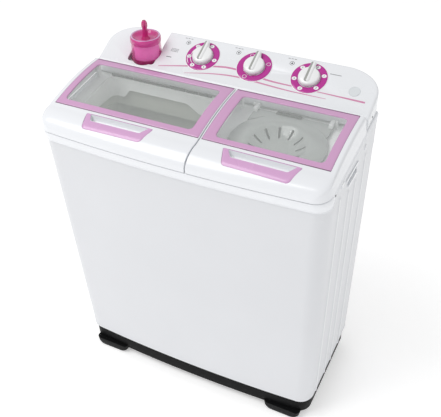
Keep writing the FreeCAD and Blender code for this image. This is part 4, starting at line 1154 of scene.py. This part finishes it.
# ---------------------------------------------------------------- inlet filter cup
def filter_cup():
    cx, cy, base = CUP
    cup = lathe([(6.0, 0.0), (38.0, 0.0), (41.5, 2.5), (42.4, 7.0), (42.0, 20.0), (40.6, 58.0),
                 (38.6, 58.0), (40.0, 20.0), (39.6, 8.0), (37.0, 3.0), (6.0, 2.4)], 96, *CUP)
    make_piece("filter_cup_wall", cup, "filter_cup", CUP_PINK, ("filter_cup",))
    # Painted shade: a darker band round the cup's foot.
    band = lathe([(36.0, 0.4), (41.2, 0.4), (43.0, 3.0), (42.9, 17.0), (42.2, 19.0), (41.0, 19.0),
                  (41.0, 4.0), (36.0, 2.8)], 96, *CUP)
    make_piece("filter_cup_foot_shade_band", band, "filter_cup", CUP_FOOT_SHADE, sharp=50)
    # Painted highlight: a pale pink ring round the cup lid's rim stands for light glinting on it.
    rim = lathe([(35.6, 74.4), (37.4, 75.3), (39.4, 74.9), (39.2, 75.6), (37.4, 76.2),
                 (35.6, 75.2)], 96, *CUP)
    make_piece("filter_lid_rim_highlight", rim, "filter_cup", GRIP_PINK, sharp=50)
    lid = lathe([(3.4, 66.0), (16.0, 65.4), (24.0, 66.6), (30.0, 70.5), (34.0, 74.0),
                 (37.5, 75.4), (40.4, 74.0), (41.8, 70.0), (41.9, 60.5), (41.0, 58.3),
                 (38.4, 58.3), (38.2, 68.0), (36.0, 71.0), (33.0, 69.6), (29.0, 66.6),
                 (23.0, 63.2), (3.4, 62.6)], 96, *CUP)
    make_piece("filter_cup_lid", lid, "filter_cup", CUP_LID, ("filter_lid",),
               sharp=50)
    nipple = lathe([(3.2, 63.5), (12.0, 65.6), (9.0, 70.0), (7.2, 76.0), (6.8, 95.0),
                    (7.2, 98.0), (8.3, 100.0), (8.4, 106.5), (7.6, 111.0), (5.6, 115.0),
                    (4.2, 116.6), (3.2, 116.6)], 48, *CUP)
    make_piece("filter_hose_nipple", nipple, "filter_cup", CUP_DARK, sharp=50)
    pleats = Shape()
    count = 144
    rings = []
    for radius, z in ((24.5, 3.0), (30.0, 3.4), (33.0, 14.0), (33.4, 30.0), (33.0, 50.0),
                      (30.0, 55.6), (24.5, 55.6)):
        ring = []
        for k in range(count):
            angle = 2 * PI * k / count
            fold = 0.35 * math.cos(angle * 36) if radius > 25 else 0.0
            ring.append((cx + (radius + fold) * math.cos(angle),
                         cy + (radius + fold) * math.sin(angle), base + z))
        rings.append(ring)
    pleats.closed_loft(rings)
    make_piece("filter_pleats", pleats, "filter_cup", CARTRIDGE_GLOWING,
               ("filter_cartridge",), sharp=60)


# ---------------------------------------------------------------- tubs
def wash_tub():
    x, y = WASH_TUB
    outside = ((22.0, 378.0, 40.0), (10.0, 386.0, 36.0), (6.0, 404.0, 34.0), (1.5, 600.0, 34.0),
               (0.0, 771.0, 34.0))
    inside = ((3.0, 771.0, 31.0), (4.5, 600.0, 31.0), (9.0, 407.0, 31.0), (13.5, 391.0, 34.0),
              (26.0, 383.0, 38.0))
    rings = []
    for inset, z, corner in outside + inside:
        wide, deep = 186.0 - inset, 133.0 - inset
        rings.append(raised(outline(x - wide, x + wide, level(y - deep), y + deep, corner,
                                    (10, 24, 16, 24)), z))
    make_piece("wash_tub_liner", Shape().loft(rings), "cabinet", TUB_GREY,
               ("wash_tub",), sharp=45)


def pulsator():
    x, y = WASH_TUB
    base = 380.0
    disc = lathe([(8.5, 7.2), (112.0, 7.2), (121.0, 9.0), (123.6, 11.5), (121.0, 14.0),
                  (98.0, 12.6), (60.0, 15.0), (36.0, 24.0), (20.0, 28.6), (8.5, 29.0)], 96, x, y,
                 base)
    for k in range(6):
        rings = []
        for r, wide, tall in ((28.0, 7.0, 24.0), (55.0, 8.0, 24.0), (88.0, 9.0, 23.0),
                              (112.0, 7.0, 18.0), (119.0, 3.0, 13.0)):
            rings.append([(r, -wide, 11.0), (r, wide, 11.0), (r, wide * 0.45, tall),
                          (r, -wide * 0.45, tall)])
        vane = Shape().loft(rings)
        vane.moved(Matrix.Translation((x, y, base)) @ Matrix.Rotation(k * PI / 3, 4, "Z"))
        disc.add(vane)
    make_piece("pulsator_wheel", disc, "pulsator", PULSATOR, ("pulsator",),
               sharp=45)


def spin_parts():
    x, y = SPIN_TUB
    base = 400.0
    basket = lathe([(10.0, 14.0), (60.0, 14.0), (98.0, 18.0), (105.0, 28.0), (106.0, 60.0),
                    (106.0, 336.0), (104.0, 343.0), (98.0, 345.4), (92.0, 343.0), (92.0, 340.0),
                    (98.0, 341.0), (102.0, 338.0), (103.4, 330.0), (103.4, 60.0), (102.0, 30.0),
                    (96.0, 22.0), (60.0, 17.0), (34.0, 17.0), (24.0, 30.0), (18.0, 45.0),
                    (10.0, 46.0)], 96, x, y, base)
    holes = Shape()
    for row in range(8):
        for k in range(9):
            turn = (Matrix.Rotation(PI * (k + 0.5 * (row % 2)) / 9, 4, "Z")
                    @ Matrix.Rotation(PI / 2, 4, "Y"))
            holes.add(rod(3.2, -130.0, 130.0, 12).moved(
                Matrix.Translation((x, y, base + 70 + row * 32)) @ turn))
    make_piece("spin_basket_drum", basket, "spin_basket", BASKET,
               ("spin_basket",), [holes], sharp=45)


# ---------------------------------------------------------------- CAD nodes that stay
KEPT = {
    "foot_pads": RUBBER, "back_cover": BACK_SHEET, "back_cover_screws": STEEL,
    "wash_timer": SWITCH, "selector_switch": SWITCH, "spin_timer": SWITCH,
    "lint_filter": PANEL_WHITE, "bearing_housing": MOTOR_METAL, "wash_motor": MOTOR_METAL,
    "drive_belt": RUBBER, "spin_tank": TUB_GREY, "spin_seal": RUBBER, "spin_motor": MOTOR_METAL,
    "spin_motor_mounts": RUBBER, "brake_pivot": STEEL, "drain_valve": SWITCH,
    "drain_spigot": SWITCH, "capacitor": SWITCH, "cord_gland": RUBBER,
    "wash_hinge_pins": STEEL, "spin_hinge_pins": STEEL, "spin_cover_pins": STEEL,
    "pulsator_cap": PULSATOR, "pulsator_shaft": STEEL, "drive_pulley": MOTOR_METAL,
    "motor_pulley": MOTOR_METAL, "spin_shaft": STEEL, "brake_drum": MOTOR_METAL,
    "brake_lever": STEEL, "brake_pad": RUBBER, "drain_plug": RUBBER,
}


def dress_kept_nodes():
    for node, material in KEPT.items():
        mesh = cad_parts[node].data
        mesh.materials.clear()
        mesh.materials.append(material)


# ---------------------------------------------------------------- stage
def stage():
    floor_mesh = bpy.data.meshes.new("floor")
    size = 9.0
    floor_mesh.from_pydata([(-size, -size, 0), (size, -size, 0), (size, size, 0),
                            (-size, size, 0)], [], [(0, 1, 2, 3)])
    floor = new_object("floor", floor_mesh)
    pale = shader("floor_white", (0.95, 0.95, 0.95), 0.9, tint=0.004, grain=0.0,
                  Specular_IOR_Level=0.1, Emission_Color=(1, 1, 1, 1), Emission_Strength=0.34)
    floor.data.materials.append(pale)
    world = bpy.data.worlds.new("studio")
    world.use_nodes = True
    sky = world.node_tree.nodes["Background"]
    sky.inputs["Color"].default_value = (1, 1, 1, 1)
    sky.inputs["Strength"].default_value = 0.60
    bpy.context.scene.world = world
    bpy.context.scene.view_settings.view_transform = "Standard"

    def area(name, place, target, size, power):
        light = bpy.data.lights.new(name, "AREA")
        light.shape = "RECTANGLE"
        light.size = size
        light.size_y = size
        light.energy = power
        obj = new_object(name, light)
        obj.location = place
        direction = Vector(target) - Vector(place)
        obj.rotation_euler = direction.to_track_quat("-Z", "Y").to_euler()

    area("key", (-1.5, -1.3, 3.6), (0, 0, 0.5), 2.2, 56.0)
    area("fill", (0.6, -3.4, 1.6), (0, 0, 0.5), 1.6, 5.0)
    area("side", (3.2, 0.2, 2.2), (0.2, 0, 0.5), 1.8, 6.0)


def camera():
    turn = math.radians(27.36)
    lift = math.radians(39.087)
    roll = math.radians(-1.919)
    back = Vector((math.sin(turn) * math.cos(lift), -math.cos(turn) * math.cos(lift),
                   math.sin(lift)))
    right = Vector((math.cos(turn), math.sin(turn), 0))
    up = back.cross(right)
    x_axis = math.cos(roll) * right + math.sin(roll) * up
    y_axis = -math.sin(roll) * right + math.cos(roll) * up
    data = bpy.data.cameras.new("camera")
    data.sensor_width = 36.0
    data.lens = 56.63
    data.clip_end = 50.0
    obj = new_object("camera", data)
    facing = Matrix((x_axis, y_axis, back)).transposed().to_4x4()
    obj.matrix_world = Matrix.Translation((0.7100, -1.3267, 1.7697)) @ facing
    bpy.context.scene.camera = obj


camera()
stage()
cabinet_shell()
rib_highlight_strips()
side_grips()
rim_plugs()
base_pan()
feet()
top_frame()
build_lid("wash", -LID_HALF, SEAM - 1.6, (-367.5, 41.9), (-350.0, 16.0, 17.0, 180.0),
          (CORNER, 1.5), [(-250.0, -59.0), (-84.0, -59.0), (-74.0, -9.6), (-265.0, -9.6)],
          [(-240.0, -34.0), (-99.0, -34.0), (-86.0, -10.1), (-253.0, -10.1)])
build_lid("spin", SEAM + 1.6, LID_HALF, (51.4, 367.5), (77.0, 347.0, 15.0, 180.0),
          (1.5, CORNER), [(130.0, -60.0), (293.0, -60.0), (307.0, -10.4), (112.0, -10.4)],
          [(141.0, -35.0), (281.0, -35.0), (295.0, -11.1), (125.0, -11.1)])
spin_cover()
control_panel()
for dial, dial_x in DIALS.items():
    dial_ring(dial, dial_x)
    knob(dial, dial_x)
filter_cup()
wash_tub()
pulsator()
spin_parts()
dress_kept_nodes()
